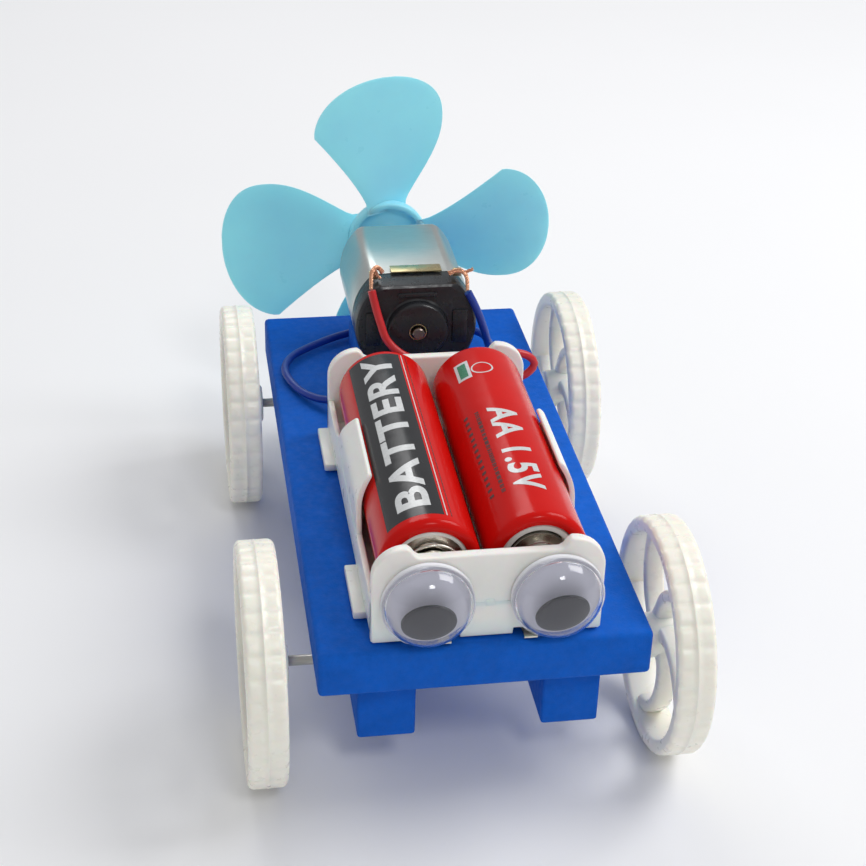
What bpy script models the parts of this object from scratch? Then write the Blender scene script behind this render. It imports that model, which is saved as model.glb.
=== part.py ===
"""Propeller-driven car: a foam board on four spoked wheels, with a motor, two cells and a pair of googly eyes.

Metres, +Z up. The eyes look along -Y and +X is on the right of someone who faces them, so "left" is -X.
The world origin is on the floor, under the middle of the car's outer box. Every piece hangs under the empty
"car", whose own origin is on the floor below the middle of the board's front edge, so lengths along Y in this
file are measured back from that edge.
"""

import math

import bmesh
import bpy
from mathutils import Matrix, Vector

# Whole car
OVERALL_LENGTH = 0.115
GAP = 0.0003
FRONT_AXLE_Y = 0.012
REAR_AXLE_Y = 0.0865

# Wheels and axles
WHEEL_RADIUS = 0.0174
WHEEL_WIDTH = 0.0055
FRONT_WHEEL_X = {"left": -0.0300, "right": 0.0284}
REAR_WHEEL_X = {"left": -0.0284, "right": 0.0300}
RIM_INNER_RADIUS = 0.0151
SPOKE_COUNT = 5
SPOKE_SWEEP = math.radians(60)
SPOKE_RIM_ANGLE = math.radians(43)
SPOKE_HALF_THICKNESS = 0.00095
SPOKE_DEPTH = 0.0032
HUB_RADIUS = 0.0033
HUB_INNER_X = -0.0038
HUB_OUTER_X = 0.0022
AXLE_RADIUS = 0.00075

# Foam board and the blocks under it
BOARD_SIZE = Vector((0.0460, 0.1010, 0.0070))
BOARD_BOTTOM = 0.0199
BOARD_TOP = BOARD_BOTTOM + BOARD_SIZE.z
FOAM_BEVEL = 0.0006
AXLE_BLOCK_SIZE = Vector((0.0082, 0.0160, 0.0106))
AXLE_BLOCK_X = 0.0131
AXLE_HOLE_RADIUS = AXLE_RADIUS + 0.0004

# Battery holder, with its long side along Y
HOLDER_WIDTH = 0.0315
HOLDER_FRONT = 0.0016
HOLDER_LENGTH = 0.0575
HOLDER_REAR = HOLDER_FRONT + HOLDER_LENGTH
HOLDER_BOTTOM = BOARD_TOP + GAP
HOLDER_HEIGHT = 0.0148
HOLDER_MID_HEIGHT = 0.0132
HOLDER_FLOOR_BOTTOM = 0.0010
HOLDER_FLOOR_TOP = 0.0021
HOLDER_SIDE_HEIGHT = 0.0062
END_WALL = 0.0016
SIDE_WALL = 0.0009
CLIP_START = 0.0188
CLIP_TOP_START = 0.0212
CLIP_TOP_END = 0.0368
CLIP_END = 0.0483
CLIP_REACH = 0.0051
SHOULDER_X = 0.0112
CORNER_RADIUS = 0.0058
TONGUE_HALF = 0.0036
FOOT_INNER = 0.0106
LUG_OUT = 0.0017
LUG_LENGTH = 0.0116
LUG_STARTS = (0.0073, 0.0462)

# Cells (size AA)
CELL_RADIUS = 0.0071
CELL_X = 0.0074
CELL_AXIS_Z = HOLDER_BOTTOM + HOLDER_FLOOR_TOP + GAP + CELL_RADIUS
CELL_BODY = 0.0495
CELL_FRONT = 0.0051
NUB_LENGTH = 0.0010
NUB_RADIUS = 0.00265
JACKET_WALL = 0.00030
SHOULDER_INNER_RADIUS = 0.0054
SEAL_OUTER_RADIUS = 0.0050
SEAL_INNER_RADIUS = 0.0043
CONTACT_THICKNESS = 0.00025
CONTACT_LEG_X = 0.0059
CONTACT_LEG_HALF = 0.0009

# Googly eyes on the holder's front wall
EYE_X = {"left": -0.0083, "right": 0.0092}
EYE_Z = 0.0338
EYE_RADIUS = 0.0063
EYE_BACK = 0.0008
DOME_RADIUS = 0.0060
DOME_HEIGHT = 0.0041
DOME_WALL = 0.00035
FLANGE_THICKNESS = 0.0004
PUPIL_RADIUS = 0.0037
PUPIL_THICKNESS = 0.0005
PUPIL_DROP = 0.00165
PUPIL_LEAN = math.radians(18)
PUPIL_ROLL = {"left": math.radians(4), "right": math.radians(-13)}

# Motor (130 size), its shaft along Y
MOTOR_Z = 0.03975
MOTOR_RADIUS = 0.01005
MOTOR_FLAT = 0.00755
MOTOR_CAP_FRONT = 0.0693
CAN_FRONT = 0.0744
CAN_REAR = 0.0944
CAN_WALL = 0.0007
SHAFT_RADIUS = 0.0010
SHAFT_FRONT = 0.0666
SHAFT_REAR = 0.1073
CAP_BOSS_RADIUS = 0.0050
CAP_BOSS_LENGTH = 0.0020
CAN_BOSS_RADIUS = 0.0031
CAN_BOSS_LENGTH = 0.0018
CORE_RADIUS = 0.0062
CORE_FRONT = 0.0806
CORE_REAR = 0.0896
MAGNET_INNER_RADIUS = 0.0067
MAGNET_OUTER_RADIUS = MOTOR_RADIUS - CAN_WALL - GAP
BLOCK_SIZE = Vector((0.0180, 0.0140, MOTOR_Z - MOTOR_FLAT - BOARD_TOP - 2 * GAP))
BLOCK_FRONT = 0.0750

# Propeller
PROPELLER_RADIUS = 0.0300
PROPELLER_PLANE = 0.10645
HUB_CUP_RADIUS = 0.0071
HUB_CUP_WALL = 0.00105
HUB_SOCKET_FRONT = 0.1006
HUB_CUP_FRONT = 0.1042
BLADE_COUNT = 4
BLADE_THICKNESS = 0.0009
BLADE_ROOT = 0.0064

# Leads
WIRE_RADIUS = 0.00065
STRAND_RADIUS = 0.00045
WIRE_POINT_SPACING = 0.0026
TAG_X = 0.0090
TAG_Z = HOLDER_BOTTOM + 0.0042

BLUE_LEAD_ROUTE = [
    (-TAG_X, 0.0612, TAG_Z),
    (-0.0102, 0.0630, 0.0308),
    (-0.0134, 0.0650, 0.0293),
    (-0.0166, 0.0675, 0.0284),
    (-0.0194, 0.0718, 0.0280),
    (-0.0210, 0.0780, 0.0280),
    (-0.0197, 0.0830, 0.0280),
    (-0.0160, 0.0867, 0.0280),
    (-0.0105, 0.0902, 0.0281),
    (-0.0045, 0.0921, 0.0283),
    (0.0025, 0.0923, 0.0286),
    (0.0090, 0.0902, 0.0291),
    (0.0136, 0.0858, 0.0298),
    (0.0145, 0.0812, 0.0314),
    (0.0134, 0.0768, 0.0343),
    (0.0121, 0.0730, 0.0374),
    (0.0116, 0.0702, 0.0398),
    (0.0105, 0.0683, 0.0419),
    (0.0093, 0.0682, 0.0440),
    (0.0082, 0.0683, 0.0462),
]
RED_LEAD_ROUTE = [
    (TAG_X, 0.0612, TAG_Z),
    (0.0118, 0.0622, 0.0317),
    (0.0150, 0.0626, 0.0326),
    (0.0177, 0.0628, 0.0338),
    (0.0187, 0.0630, 0.0355),
    (0.0170, 0.0630, 0.0371),
    (0.0136, 0.0630, 0.0376),
    (0.0085, 0.0632, 0.0371),
    (0.0030, 0.0636, 0.0366),
    (-0.0020, 0.0642, 0.0370),
    (-0.0052, 0.0652, 0.0394),
    (-0.0064, 0.0664, 0.0424),
    (-0.0071, 0.0676, 0.0450),
    (-0.0076, 0.0683, 0.0472),
]
BLUE_STRAND_ROUTE = [
    (0.0080, 0.0686, 0.0472),
    (0.0081, 0.0696, 0.0483),
    (0.0075, 0.0705, 0.0489),
    (0.0064, 0.0709, 0.0489),
    (0.0053, 0.0709, 0.0485),
]
RED_STRAND_ROUTE = [
    (-0.0077, 0.0687, 0.0482),
    (-0.0075, 0.0696, 0.0493),
    (-0.0069, 0.0704, 0.0502),
    (-0.0062, 0.0708, 0.0500),
    (-0.0055, 0.0709, 0.0492),
]

ALONG_X = Matrix.Rotation(math.radians(90), 4, "Y")
ALONG_Y = Matrix.Rotation(math.radians(-90), 4, "X")


# ---------------------------------------------------------------- scene and materials


def clear_scene():
    for obj in list(bpy.data.objects):
        bpy.data.objects.remove(obj, do_unlink=True)


def new_collection(name):
    collection = bpy.data.collections.new(name)
    bpy.context.scene.collection.children.link(collection)
    return collection


def material(name, color, roughness, metallic=0.0, alpha=1.0):
    made = bpy.data.materials.new(name)
    made.use_nodes = True
    shader = made.node_tree.nodes["Principled BSDF"]
    shader.inputs["Base Color"].default_value = (*color, 1.0)
    shader.inputs["Roughness"].default_value = roughness
    shader.inputs["Metallic"].default_value = metallic
    shader.inputs["Alpha"].default_value = alpha
    return made


clear_scene()
PARTS = new_collection("propeller_car")
CUTTERS = new_collection("cutters")

FOAM = material("blue_foam", (0.012, 0.105, 0.45), 0.85)
WHEEL_PLASTIC = material("wheel_plastic", (0.80, 0.78, 0.70), 0.30)
STEEL = material("axle_steel", (0.45, 0.45, 0.46), 0.30, 1.0)
HOLDER_PLASTIC = material("holder_plastic", (0.76, 0.76, 0.71), 0.38)
TAPE = material("foam_tape", (0.70, 0.70, 0.66), 0.80)
NICKEL = material("contact_nickel", (0.62, 0.60, 0.55), 0.28, 1.0)
JACKET = material("cell_jacket", (0.60, 0.02, 0.015), 0.22)
CELL_STEEL = material("cell_steel", (0.55, 0.54, 0.50), 0.22, 1.0)
SEAL = material("cell_seal", (0.80, 0.79, 0.76), 0.45)
EYE_WHITE = material("eye_white", (0.78, 0.78, 0.82), 0.40)
EYE_CLEAR = material("eye_clear", (0.95, 0.95, 1.0), 0.05, alpha=0.2)
PUPIL_GREY = material("pupil_grey", (0.06, 0.07, 0.08), 0.45)
CAN_STEEL = material("motor_can", (0.42, 0.45, 0.46), 0.35, 1.0)
CAP_BLACK = material("motor_cap_black", (0.012, 0.013, 0.015), 0.35)
BRASS = material("brass", (0.60, 0.48, 0.20), 0.35, 1.0)
MAGNET = material("ferrite", (0.07, 0.07, 0.075), 0.70)
CORE_STEEL = material("core_steel", (0.30, 0.30, 0.31), 0.45, 1.0)
COPPER = material("copper", (0.72, 0.38, 0.22), 0.35, 1.0)
CARBON = material("carbon", (0.03, 0.03, 0.03), 0.60)
PROPELLER_BLUE = material("propeller_blue", (0.20, 0.62, 0.86), 0.30)
RED_INSULATION = material("red_insulation", (0.55, 0.02, 0.02), 0.40)
BLUE_INSULATION = material("blue_insulation", (0.01, 0.04, 0.32), 0.40)

CAR = bpy.data.objects.new("car", None)
PARTS.objects.link(CAR)
CAR.location.y = -OVERALL_LENGTH / 2 + WHEEL_RADIUS - FRONT_AXLE_Y


# ---------------------------------------------------------------- building blocks


def empty(name, location, parent=CAR, rotation=None):
    """An empty that a moving group hangs from, with its origin on the joint's axis."""
    made = bpy.data.objects.new(name, None)
    PARTS.objects.link(made)
    made.parent = parent
    made.location = location
    if rotation:
        made.rotation_euler = rotation
    return made


def add(name, data, surface, parent=CAR, matrix=None):
    """A named piece of the car, in its collection."""
    obj = bpy.data.objects.new(name, data)
    PARTS.objects.link(obj)
    obj.parent = parent
    obj.matrix_local = matrix or Matrix.Identity(4)
    if surface:
        obj.data.materials.append(surface)
    return obj


def as_cutter(obj):
    """Moves a helper out of the car's collection and hides it."""
    PARTS.objects.unlink(obj)
    CUTTERS.objects.link(obj)
    obj.hide_render = True
    obj.display_type = "WIRE"
    return obj


def boolean(target, tool, operation):
    modifier = target.modifiers.new(operation.title(), "BOOLEAN")
    modifier.operation = operation
    modifier.object = as_cutter(tool)
    return target


def cut(target, *tools):
    for tool in tools:
        boolean(target, tool, "DIFFERENCE")
    return target


def join(target, *tools):
    for tool in tools:
        boolean(target, tool, "UNION")
    return target


def smooth(mesh, angle=35):
    mesh.shade_smooth()
    mesh.set_sharp_from_angle(angle=math.radians(angle))


def box(name, low, high, surface=None, parent=CAR, bevel=0.0):
    """A box between two opposite corners, given in the parent's frame."""
    low, high = Vector(low), Vector(high)
    bm = bmesh.new()
    bmesh.ops.create_cube(bm, size=1.0)
    bmesh.ops.scale(bm, vec=high - low, verts=bm.verts)
    mesh = bpy.data.meshes.new(name)
    bm.to_mesh(mesh)
    bm.free()
    obj = add(name, mesh, surface, parent, Matrix.Translation((low + high) / 2))
    if bevel:
        modifier = obj.modifiers.new("Bevel", "BEVEL")
        modifier.width = bevel
        modifier.segments = 2
    return obj


def turned(name, profile, surface=None, parent=CAR, matrix=None, steps=32, ring=False):
    """A profile of (radius, height) points turned about Z. It runs down the outer side first.

    A ring's profile is a closed loop clear of the axis; any other profile starts and ends on the axis.
    """
    mesh = bpy.data.meshes.new(name)
    count = len(profile)
    edges = [(i, i + 1) for i in range(count - 1)]
    if ring:
        edges.append((count - 1, 0))
    mesh.from_pydata([(r, 0.0, h) for r, h in profile], edges, [])
    obj = add(name, mesh, surface, parent, matrix)
    modifier = obj.modifiers.new("Screw", "SCREW")
    modifier.axis = "Z"
    modifier.steps = steps
    modifier.render_steps = steps
    modifier.use_merge_vertices = True
    modifier.merge_threshold = 0.00001
    modifier.use_smooth_shade = False
    return obj


def rod(name, radius, start, length, surface=None, parent=CAR, turn=ALONG_Y, steps=24):
    """A plain round bar that starts at a point and runs along the turned Z axis."""
    profile = [(0.0, length), (radius, length), (radius, 0.0), (0.0, 0.0)]
    matrix = Matrix.Translation(start) @ turn
    return turned(name, profile, surface, parent, matrix, steps)


def tube(name, inner, outer, start, length, surface=None, parent=CAR, turn=ALONG_Y, steps=24):
    profile = [(outer, length), (outer, 0.0), (inner, 0.0), (inner, length)]
    matrix = Matrix.Translation(start) @ turn
    return turned(name, profile, surface, parent, matrix, steps, ring=True)


def flat(name, outlines, depth, surface=None, parent=CAR, matrix=None):
    """Closed outlines in the local XY plane, made a plate of this depth centred on the plane."""
    curve = bpy.data.curves.new(name, "CURVE")
    curve.dimensions = "2D"
    curve.fill_mode = "BOTH"
    curve.extrude = depth / 2
    for outline in outlines:
        spline = curve.splines.new("POLY")
        spline.points.add(len(outline) - 1)
        for point, (x, y) in zip(spline.points, outline):
            point.co = (x, y, 0.0, 1.0)
        spline.use_cyclic_u = True
    obj = add(name, curve, surface, parent, matrix)
    return as_mesh(obj)


def as_mesh(obj):
    """The same piece as a closed mesh, so that Booleans can use it."""
    bpy.context.view_layer.update()
    graph = bpy.context.evaluated_depsgraph_get()
    mesh = bpy.data.meshes.new_from_object(obj.evaluated_get(graph))
    bm = bmesh.new()
    bm.from_mesh(mesh)
    bmesh.ops.remove_doubles(bm, verts=bm.verts, dist=0.000001)
    bmesh.ops.recalc_face_normals(bm, faces=bm.faces)
    bm.to_mesh(mesh)
    bm.free()
    name, parent, local = obj.name, obj.parent, obj.matrix_local.copy()
    bpy.data.objects.remove(obj)
    made = bpy.data.objects.new(name, mesh)
    PARTS.objects.link(made)
    made.parent = parent
    made.matrix_local = local
    return made


def arc(radius, start, end, count, centre=(0.0, 0.0)):
    """Points along an arc, ends included. Angles are in radians."""
    turns = [start + (end - start) * i / (count - 1) for i in range(count)]
    return [(centre[0] + radius * math.cos(t), centre[1] + radius * math.sin(t)) for t in turns]


def smooth_route(points, spacing):
    """Evenly spaced points along a Catmull-Rom curve through a route's own points."""
    route = [Vector(p) for p in points]
    padded = [2 * route[0] - route[1], *route, 2 * route[-1] - route[-2]]
    fine = []
    for a, b, c, d in zip(padded, padded[1:], padded[2:], padded[3:]):
        for i in range(24):
            t = i / 24
            near = 2 * b + (c - a) * t
            far = (2 * a - 5 * b + 4 * c - d) * t * t + (3 * b - a - 3 * c + d) * t * t * t
            fine.append((near + far) / 2)
    fine.append(route[-1])
    lengths = [0.0]
    for before, after in zip(fine, fine[1:]):
        lengths.append(lengths[-1] + (after - before).length)
    count = max(4, round(lengths[-1] / spacing) + 1)
    wanted = [lengths[-1] * i / (count - 1) for i in range(count)]
    found, k = [], 0
    for length in wanted:
        while k < len(fine) - 2 and lengths[k + 1] < length:
            k += 1
        step = lengths[k + 1] - lengths[k]
        found.append(fine[k].lerp(fine[k + 1], (length - lengths[k]) / step))
    return found


def wire(name, points, radius, surface, parent=CAR):
    """A round wire along points that already lie on a smooth curve."""
    curve = bpy.data.curves.new(name, "CURVE")
    curve.dimensions = "3D"
    curve.bevel_depth = radius
    curve.bevel_resolution = 2
    curve.use_fill_caps = True
    spline = curve.splines.new("POLY")
    spline.points.add(len(points) - 1)
    for point, place in zip(spline.points, points):
        point.co = (*place, 1.0)
    return add(name, curve, surface, parent)


# ---------------------------------------------------------------- board, blocks and tape


def make_board():
    half = BOARD_SIZE.x / 2
    box("chassis_board", (-half, 0, BOARD_BOTTOM), (half, BOARD_SIZE.y, BOARD_TOP), FOAM, bevel=FOAM_BEVEL)


def make_axle_block(name, x, axle_y):
    centre = Vector((x, axle_y, BOARD_BOTTOM - GAP - AXLE_BLOCK_SIZE.z / 2))
    half = AXLE_BLOCK_SIZE / 2
    block = box(name, centre - half, centre + half, FOAM, bevel=FOAM_BEVEL)
    start = (x - AXLE_BLOCK_SIZE.x, axle_y, WHEEL_RADIUS)
    hole = rod(name + "_hole", AXLE_HOLE_RADIUS, start, 2 * AXLE_BLOCK_SIZE.x, turn=ALONG_X, steps=16)
    cut(block, hole)


def make_motor_block():
    half = BLOCK_SIZE.x / 2
    low = (-half, BLOCK_FRONT, BOARD_TOP + GAP)
    high = (half, BLOCK_FRONT + BLOCK_SIZE.y, BOARD_TOP + GAP + BLOCK_SIZE.z)
    box("motor_block", low, high, FOAM, bevel=0.0004)


def make_holder_tape():
    low = (-0.0120, HOLDER_FRONT + 0.0070, HOLDER_BOTTOM)
    high = (0.0120, HOLDER_REAR - 0.0070, HOLDER_BOTTOM + HOLDER_FLOOR_BOTTOM - GAP)
    box("holder_tape", low, high, TAPE)


# ---------------------------------------------------------------- wheels


def spoke_outline(turn):
    """One curved spoke in the wheel's plane, from inside the hub to inside the rim."""
    inner, outer = HUB_RADIUS - 0.0008, RIM_INNER_RADIUS + 0.0006
    steps = 6
    centres, normals = [], []
    for i in range(steps + 1):
        t = i / steps
        radius = inner + (outer - inner) * t
        angle = turn + SPOKE_SWEEP * (1 - t)
        centres.append(Vector((radius * math.cos(angle), radius * math.sin(angle))))
    for i in range(steps + 1):
        along = centres[min(i + 1, steps)] - centres[max(i - 1, 0)]
        normals.append(Vector((-along.y, along.x)).normalized() * SPOKE_HALF_THICKNESS)
    one_side = [c + n for c, n in zip(centres, normals)]
    other_side = [c - n for c, n in zip(centres, normals)]
    return [tuple(p) for p in one_side + other_side[::-1]]


def wheel_mesh():
    """The moulded wheel about local Z, whose -Z face is the one next to the board."""
    half = WHEEL_WIDTH / 2
    lip = 0.0004
    rim_profile = [
        (WHEEL_RADIUS - lip, half),
        (WHEEL_RADIUS, half - lip),
        (WHEEL_RADIUS, -half + lip),
        (WHEEL_RADIUS - lip, -half),
        (RIM_INNER_RADIUS + lip, -half),
        (RIM_INNER_RADIUS, -half + lip),
        (RIM_INNER_RADIUS, half - lip),
        (RIM_INNER_RADIUS + lip, half),
    ]
    wheel = turned("wheel", rim_profile, steps=36, ring=True)
    for k in range(SPOKE_COUNT):
        turn = SPOKE_RIM_ANGLE + 2 * math.pi * k / SPOKE_COUNT
        join(wheel, flat(f"spoke_{k + 1}", [spoke_outline(turn)], SPOKE_DEPTH))
    hub_length = HUB_OUTER_X - HUB_INNER_X
    join(wheel, rod("hub", HUB_RADIUS, (0, 0, HUB_INNER_X), hub_length, turn=Matrix.Identity(4), steps=15))
    bore_start = (0, 0, HUB_INNER_X - 0.001)
    bore_radius = AXLE_RADIUS + GAP
    cut(wheel, rod("bore", bore_radius, bore_start, hub_length + 0.002, turn=Matrix.Identity(4), steps=10))
    made = as_mesh(wheel)
    mesh = made.data
    bpy.data.objects.remove(made)
    mesh.materials.append(WHEEL_PLASTIC)
    smooth(mesh)
    return mesh


def make_wheelset(end, axle_y, wheel_x, mesh):
    """One axle with its two wheels, under an empty on the axle's line."""
    pivot = empty(f"{end}_wheelset", (0, axle_y, WHEEL_RADIUS))
    left_end = wheel_x["left"] - HUB_OUTER_X
    right_end = wheel_x["right"] + HUB_OUTER_X
    rod(f"{end}_axle", AXLE_RADIUS, (left_end, 0, 0), right_end - left_end, STEEL, pivot, ALONG_X, steps=16)
    # The wheel's local X points forward and its local Y up, so the same moulding faces out on both sides.
    forward_up = Matrix(((0, 0, 1, 0), (-1, 0, 0, 0), (0, 1, 0, 0), (0, 0, 0, 1)))
    half_turn = Matrix.Rotation(math.pi, 4, "Z")
    for side in ("left", "right"):
        place = Matrix.Translation((wheel_x[side], 0, 0))
        face = half_turn @ forward_up if side == "left" else forward_up
        add(f"wheel_{end}_{side}", mesh, None, pivot, place @ face)


# ---------------------------------------------------------------- battery holder


def end_wall_outline():
    """The end walls' outline in X and Z: round shoulders that follow the cells and a lower middle."""
    half, top, middle = HOLDER_WIDTH / 2, HOLDER_HEIGHT, HOLDER_MID_HEIGHT
    centre = (half - CORNER_RADIUS, top - CORNER_RADIUS)
    right = [(half, 0.0), *arc(CORNER_RADIUS, 0, math.pi / 2, 7, centre)]
    right += [(SHOULDER_X, top), (SHOULDER_X - 0.0008, middle)]
    left = [(-x, z) for x, z in reversed(right)]
    return right + left


def clip_reach(y):
    """How far a clip's edge lies above the cells' axes."""
    wall_top = HOLDER_BOTTOM + HOLDER_SIDE_HEIGHT - CELL_AXIS_Z
    if y < CLIP_TOP_START:
        t = (y - CLIP_START) / (CLIP_TOP_START - CLIP_START)
        blend = t * t * (3 - 2 * t)
    else:
        t = min(1.0, (CLIP_END - y) / (CLIP_END - CLIP_TOP_END))
        blend = t**1.85
    return wall_top + (CLIP_REACH - wall_top) * blend


def clip_mesh():
    """The left clip's middle surface, upright beside the cell so that the cell can rise past it."""
    front = [CLIP_START + (CLIP_TOP_START - CLIP_START) * i / 5 for i in range(6)]
    rear = [CLIP_TOP_END + (CLIP_END - CLIP_TOP_END) * i / 6 for i in range(7)]
    stations = [*front, (CLIP_TOP_START + CLIP_TOP_END) / 2, *rear]
    rows, columns = len(stations) - 1, 8
    x = -HOLDER_WIDTH / 2 + SIDE_WALL / 2
    bottom = HOLDER_BOTTOM + HOLDER_SIDE_HEIGHT - 0.0008 - CELL_AXIS_Z
    bm = bmesh.new()
    bmesh.ops.create_grid(bm, x_segments=rows, y_segments=columns, size=0.5)
    for vertex in bm.verts:
        y = stations[round((vertex.co.x + 0.5) * rows)]
        height = bottom + (clip_reach(y) - bottom) * (vertex.co.y + 0.5)
        vertex.co = (x, y, CELL_AXIS_Z + height)
    mesh = bpy.data.meshes.new("clip")
    bm.to_mesh(mesh)
    bm.free()
    return mesh


def upright(x, y, z):
    """Places a plate drawn in X and Z: its depth runs along Y."""
    return Matrix.Translation((x, y, z)) @ Matrix.Rotation(math.radians(90), 4, "X")


def make_holder():
    half = HOLDER_WIDTH / 2
    floor_low = HOLDER_BOTTOM + HOLDER_FLOOR_BOTTOM
    floor_high = HOLDER_BOTTOM + HOLDER_FLOOR_TOP
    inset = 0.0001
    low = (-half + inset, HOLDER_FRONT + inset, floor_low)
    high = (half - inset, HOLDER_REAR - inset, floor_high)
    holder = box("battery_holder", low, high, HOLDER_PLASTIC)
    for name, y in (("front", HOLDER_FRONT + END_WALL / 2), ("rear", HOLDER_REAR - END_WALL / 2)):
        join(holder, flat(f"{name}_wall", [end_wall_outline()], END_WALL, matrix=upright(0, y, HOLDER_BOTTOM)))
    wall_high = (half, HOLDER_REAR, HOLDER_BOTTOM + HOLDER_SIDE_HEIGHT)
    for name, side in (("left", -1), ("right", 1)):
        inner, outer = sorted((side * (half - SIDE_WALL), side * half))
        join(holder, box(f"{name}_wall", (inner, HOLDER_FRONT, HOLDER_BOTTOM), (outer, *wall_high[1:])))
        clip = add(f"{name}_clip", clip_mesh(), None, CAR, Matrix.Diagonal((-side, 1, 1, 1)))
        modifier = clip.modifiers.new("Solidify", "SOLIDIFY")
        modifier.thickness = SIDE_WALL - 0.0001
        modifier.offset = 0.0
        join(holder, clip)
    for k, start in enumerate(LUG_STARTS):
        lug_low = (-half - LUG_OUT, start, HOLDER_BOTTOM)
        lug_high = (-half + SIDE_WALL / 2, start + LUG_LENGTH, HOLDER_BOTTOM + 0.0012)
        join(holder, box(f"lug_{k + 1}", lug_low, lug_high))
    for side in (-1, 1):
        inner, outer = sorted((side * TONGUE_HALF, side * FOOT_INNER))
        for name, y in (("front", HOLDER_FRONT), ("rear", HOLDER_REAR - END_WALL)):
            notch_low = (inner, y - 0.001, HOLDER_BOTTOM - 0.001)
            notch_high = (outer, y + END_WALL + 0.001, HOLDER_BOTTOM + HOLDER_FLOOR_BOTTOM)
            cut(holder, box(f"notch_{name}_{side}", notch_low, notch_high))
        slot_x, slot_half = side * CONTACT_LEG_X, CONTACT_LEG_HALF + 0.0006
        slot_low = (slot_x - slot_half, HOLDER_FRONT + END_WALL, floor_low - 0.0005)
        slot_high = (slot_x + slot_half, HOLDER_FRONT + END_WALL + 0.0010, floor_high + 0.0005)
        cut(holder, box(f"contact_slot_{side}", slot_low, slot_high))
        tag_low = (side * TAG_X - 0.0015, HOLDER_REAR - END_WALL - 0.001, TAG_Z - 0.0006)
        tag_high = (side * TAG_X + 0.0015, HOLDER_REAR + 0.001, TAG_Z + 0.0006)
        cut(holder, box(f"tag_slot_{side}", tag_low, tag_high))


def make_contacts():
    """The front bridge joins both cells. The rear contacts carry the solder tags."""
    inside = HOLDER_FRONT + END_WALL + GAP
    low_z, high_z = CELL_AXIS_Z - 0.0042, CELL_AXIS_Z + 0.0032
    bridge = box("front_bridge", (-0.0118, inside, low_z), (0.0118, inside + CONTACT_THICKNESS, high_z), NICKEL)
    for side in (-1, 1):
        x = side * CONTACT_LEG_X
        leg_low = (x - CONTACT_LEG_HALF, inside, HOLDER_BOTTOM)
        leg_high = (x + CONTACT_LEG_HALF, inside + CONTACT_THICKNESS, low_z + 0.0005)
        tab_low = (x - CONTACT_LEG_HALF, HOLDER_FRONT - 0.0011, HOLDER_BOTTOM)
        tab_high = (x + CONTACT_LEG_HALF, inside + CONTACT_THICKNESS, HOLDER_BOTTOM + CONTACT_THICKNESS)
        join(bridge, box(f"leg_{side}", leg_low, leg_high), box(f"tab_{side}", tab_low, tab_high))

    outside = HOLDER_REAR - END_WALL - GAP
    for name, side in (("left", -1), ("right", 1)):
        x = side * CELL_X
        plate_low = (x - 0.0040, outside - CONTACT_THICKNESS, TAG_Z - 0.00015)
        plate_high = (x + 0.0040, outside, CELL_AXIS_Z + 0.0030)
        plate = box(f"rear_contact_{name}", plate_low, plate_high, NICKEL)
        tag_low = (side * TAG_X - 0.0010, outside - CONTACT_THICKNESS, TAG_Z - 0.00015)
        tag_high = (side * TAG_X + 0.0010, HOLDER_REAR + 0.0012, TAG_Z + 0.00015)
        join(plate, box(f"tag_{name}", tag_low, tag_high))
        if name == "left":
            depth = outside - (CELL_FRONT + CELL_BODY + NUB_LENGTH) - GAP
            start = (x, outside - depth, CELL_AXIS_Z)
            join(plate, rod("dimple", 0.0019, start, depth - CONTACT_THICKNESS / 2, steps=16))


def spring_points(x, y_wide, y_narrow, turns=2.0):
    """A conical coil pressed almost flat: wide at the contact plate and narrow at the cell."""
    wide, narrow, per_turn = 0.0042, 0.0019, 10
    count = int(turns * per_turn)
    points = []
    for i in range(count + 1):
        t = i / count
        radius = wide + (narrow - wide) * t
        angle = 2 * math.pi * turns * t
        y = y_wide + (y_narrow - y_wide) * t
        points.append((x + radius * math.cos(angle), y, CELL_AXIS_Z + radius * math.sin(angle)))
    return points


def make_springs():
    wire_radius = 0.00022
    stand_off = CONTACT_THICKNESS + GAP + wire_radius
    front = HOLDER_FRONT + END_WALL + GAP + stand_off
    front_points = spring_points(-CELL_X, front, CELL_FRONT - GAP - wire_radius)
    wire("negative_spring_front", front_points, wire_radius, NICKEL)
    rear = HOLDER_REAR - END_WALL - GAP - stand_off
    cell_end = CELL_FRONT + CELL_BODY
    rear_points = spring_points(CELL_X, rear, cell_end + GAP + wire_radius)
    wire("negative_spring_rear", rear_points, wire_radius, NICKEL)


# ---------------------------------------------------------------- cells


def jacket_profile():
    """The printed sleeve, rolled over both ends: up the inside is left open so that the can can sit in it."""
    rolled = 0.0011
    outer = []
    for i in range(4):
        turn = math.radians(90 - 30 * i)
        centre_r, centre_h = CELL_RADIUS - rolled, CELL_BODY - rolled
        outer.append((centre_r + rolled * math.cos(turn), centre_h + rolled * math.sin(turn)))
    outer = [(SHOULDER_INNER_RADIUS, CELL_BODY), *outer]
    lower = [(r, CELL_BODY - h) for r, h in reversed(outer)]
    inner_r = CELL_RADIUS - JACKET_WALL
    depth = 0.0011
    inner = [
        (SHOULDER_INNER_RADIUS, depth),
        (inner_r, depth),
        (inner_r, CELL_BODY - depth),
        (SHOULDER_INNER_RADIUS, CELL_BODY - depth),
    ]
    return outer + lower + inner


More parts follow.
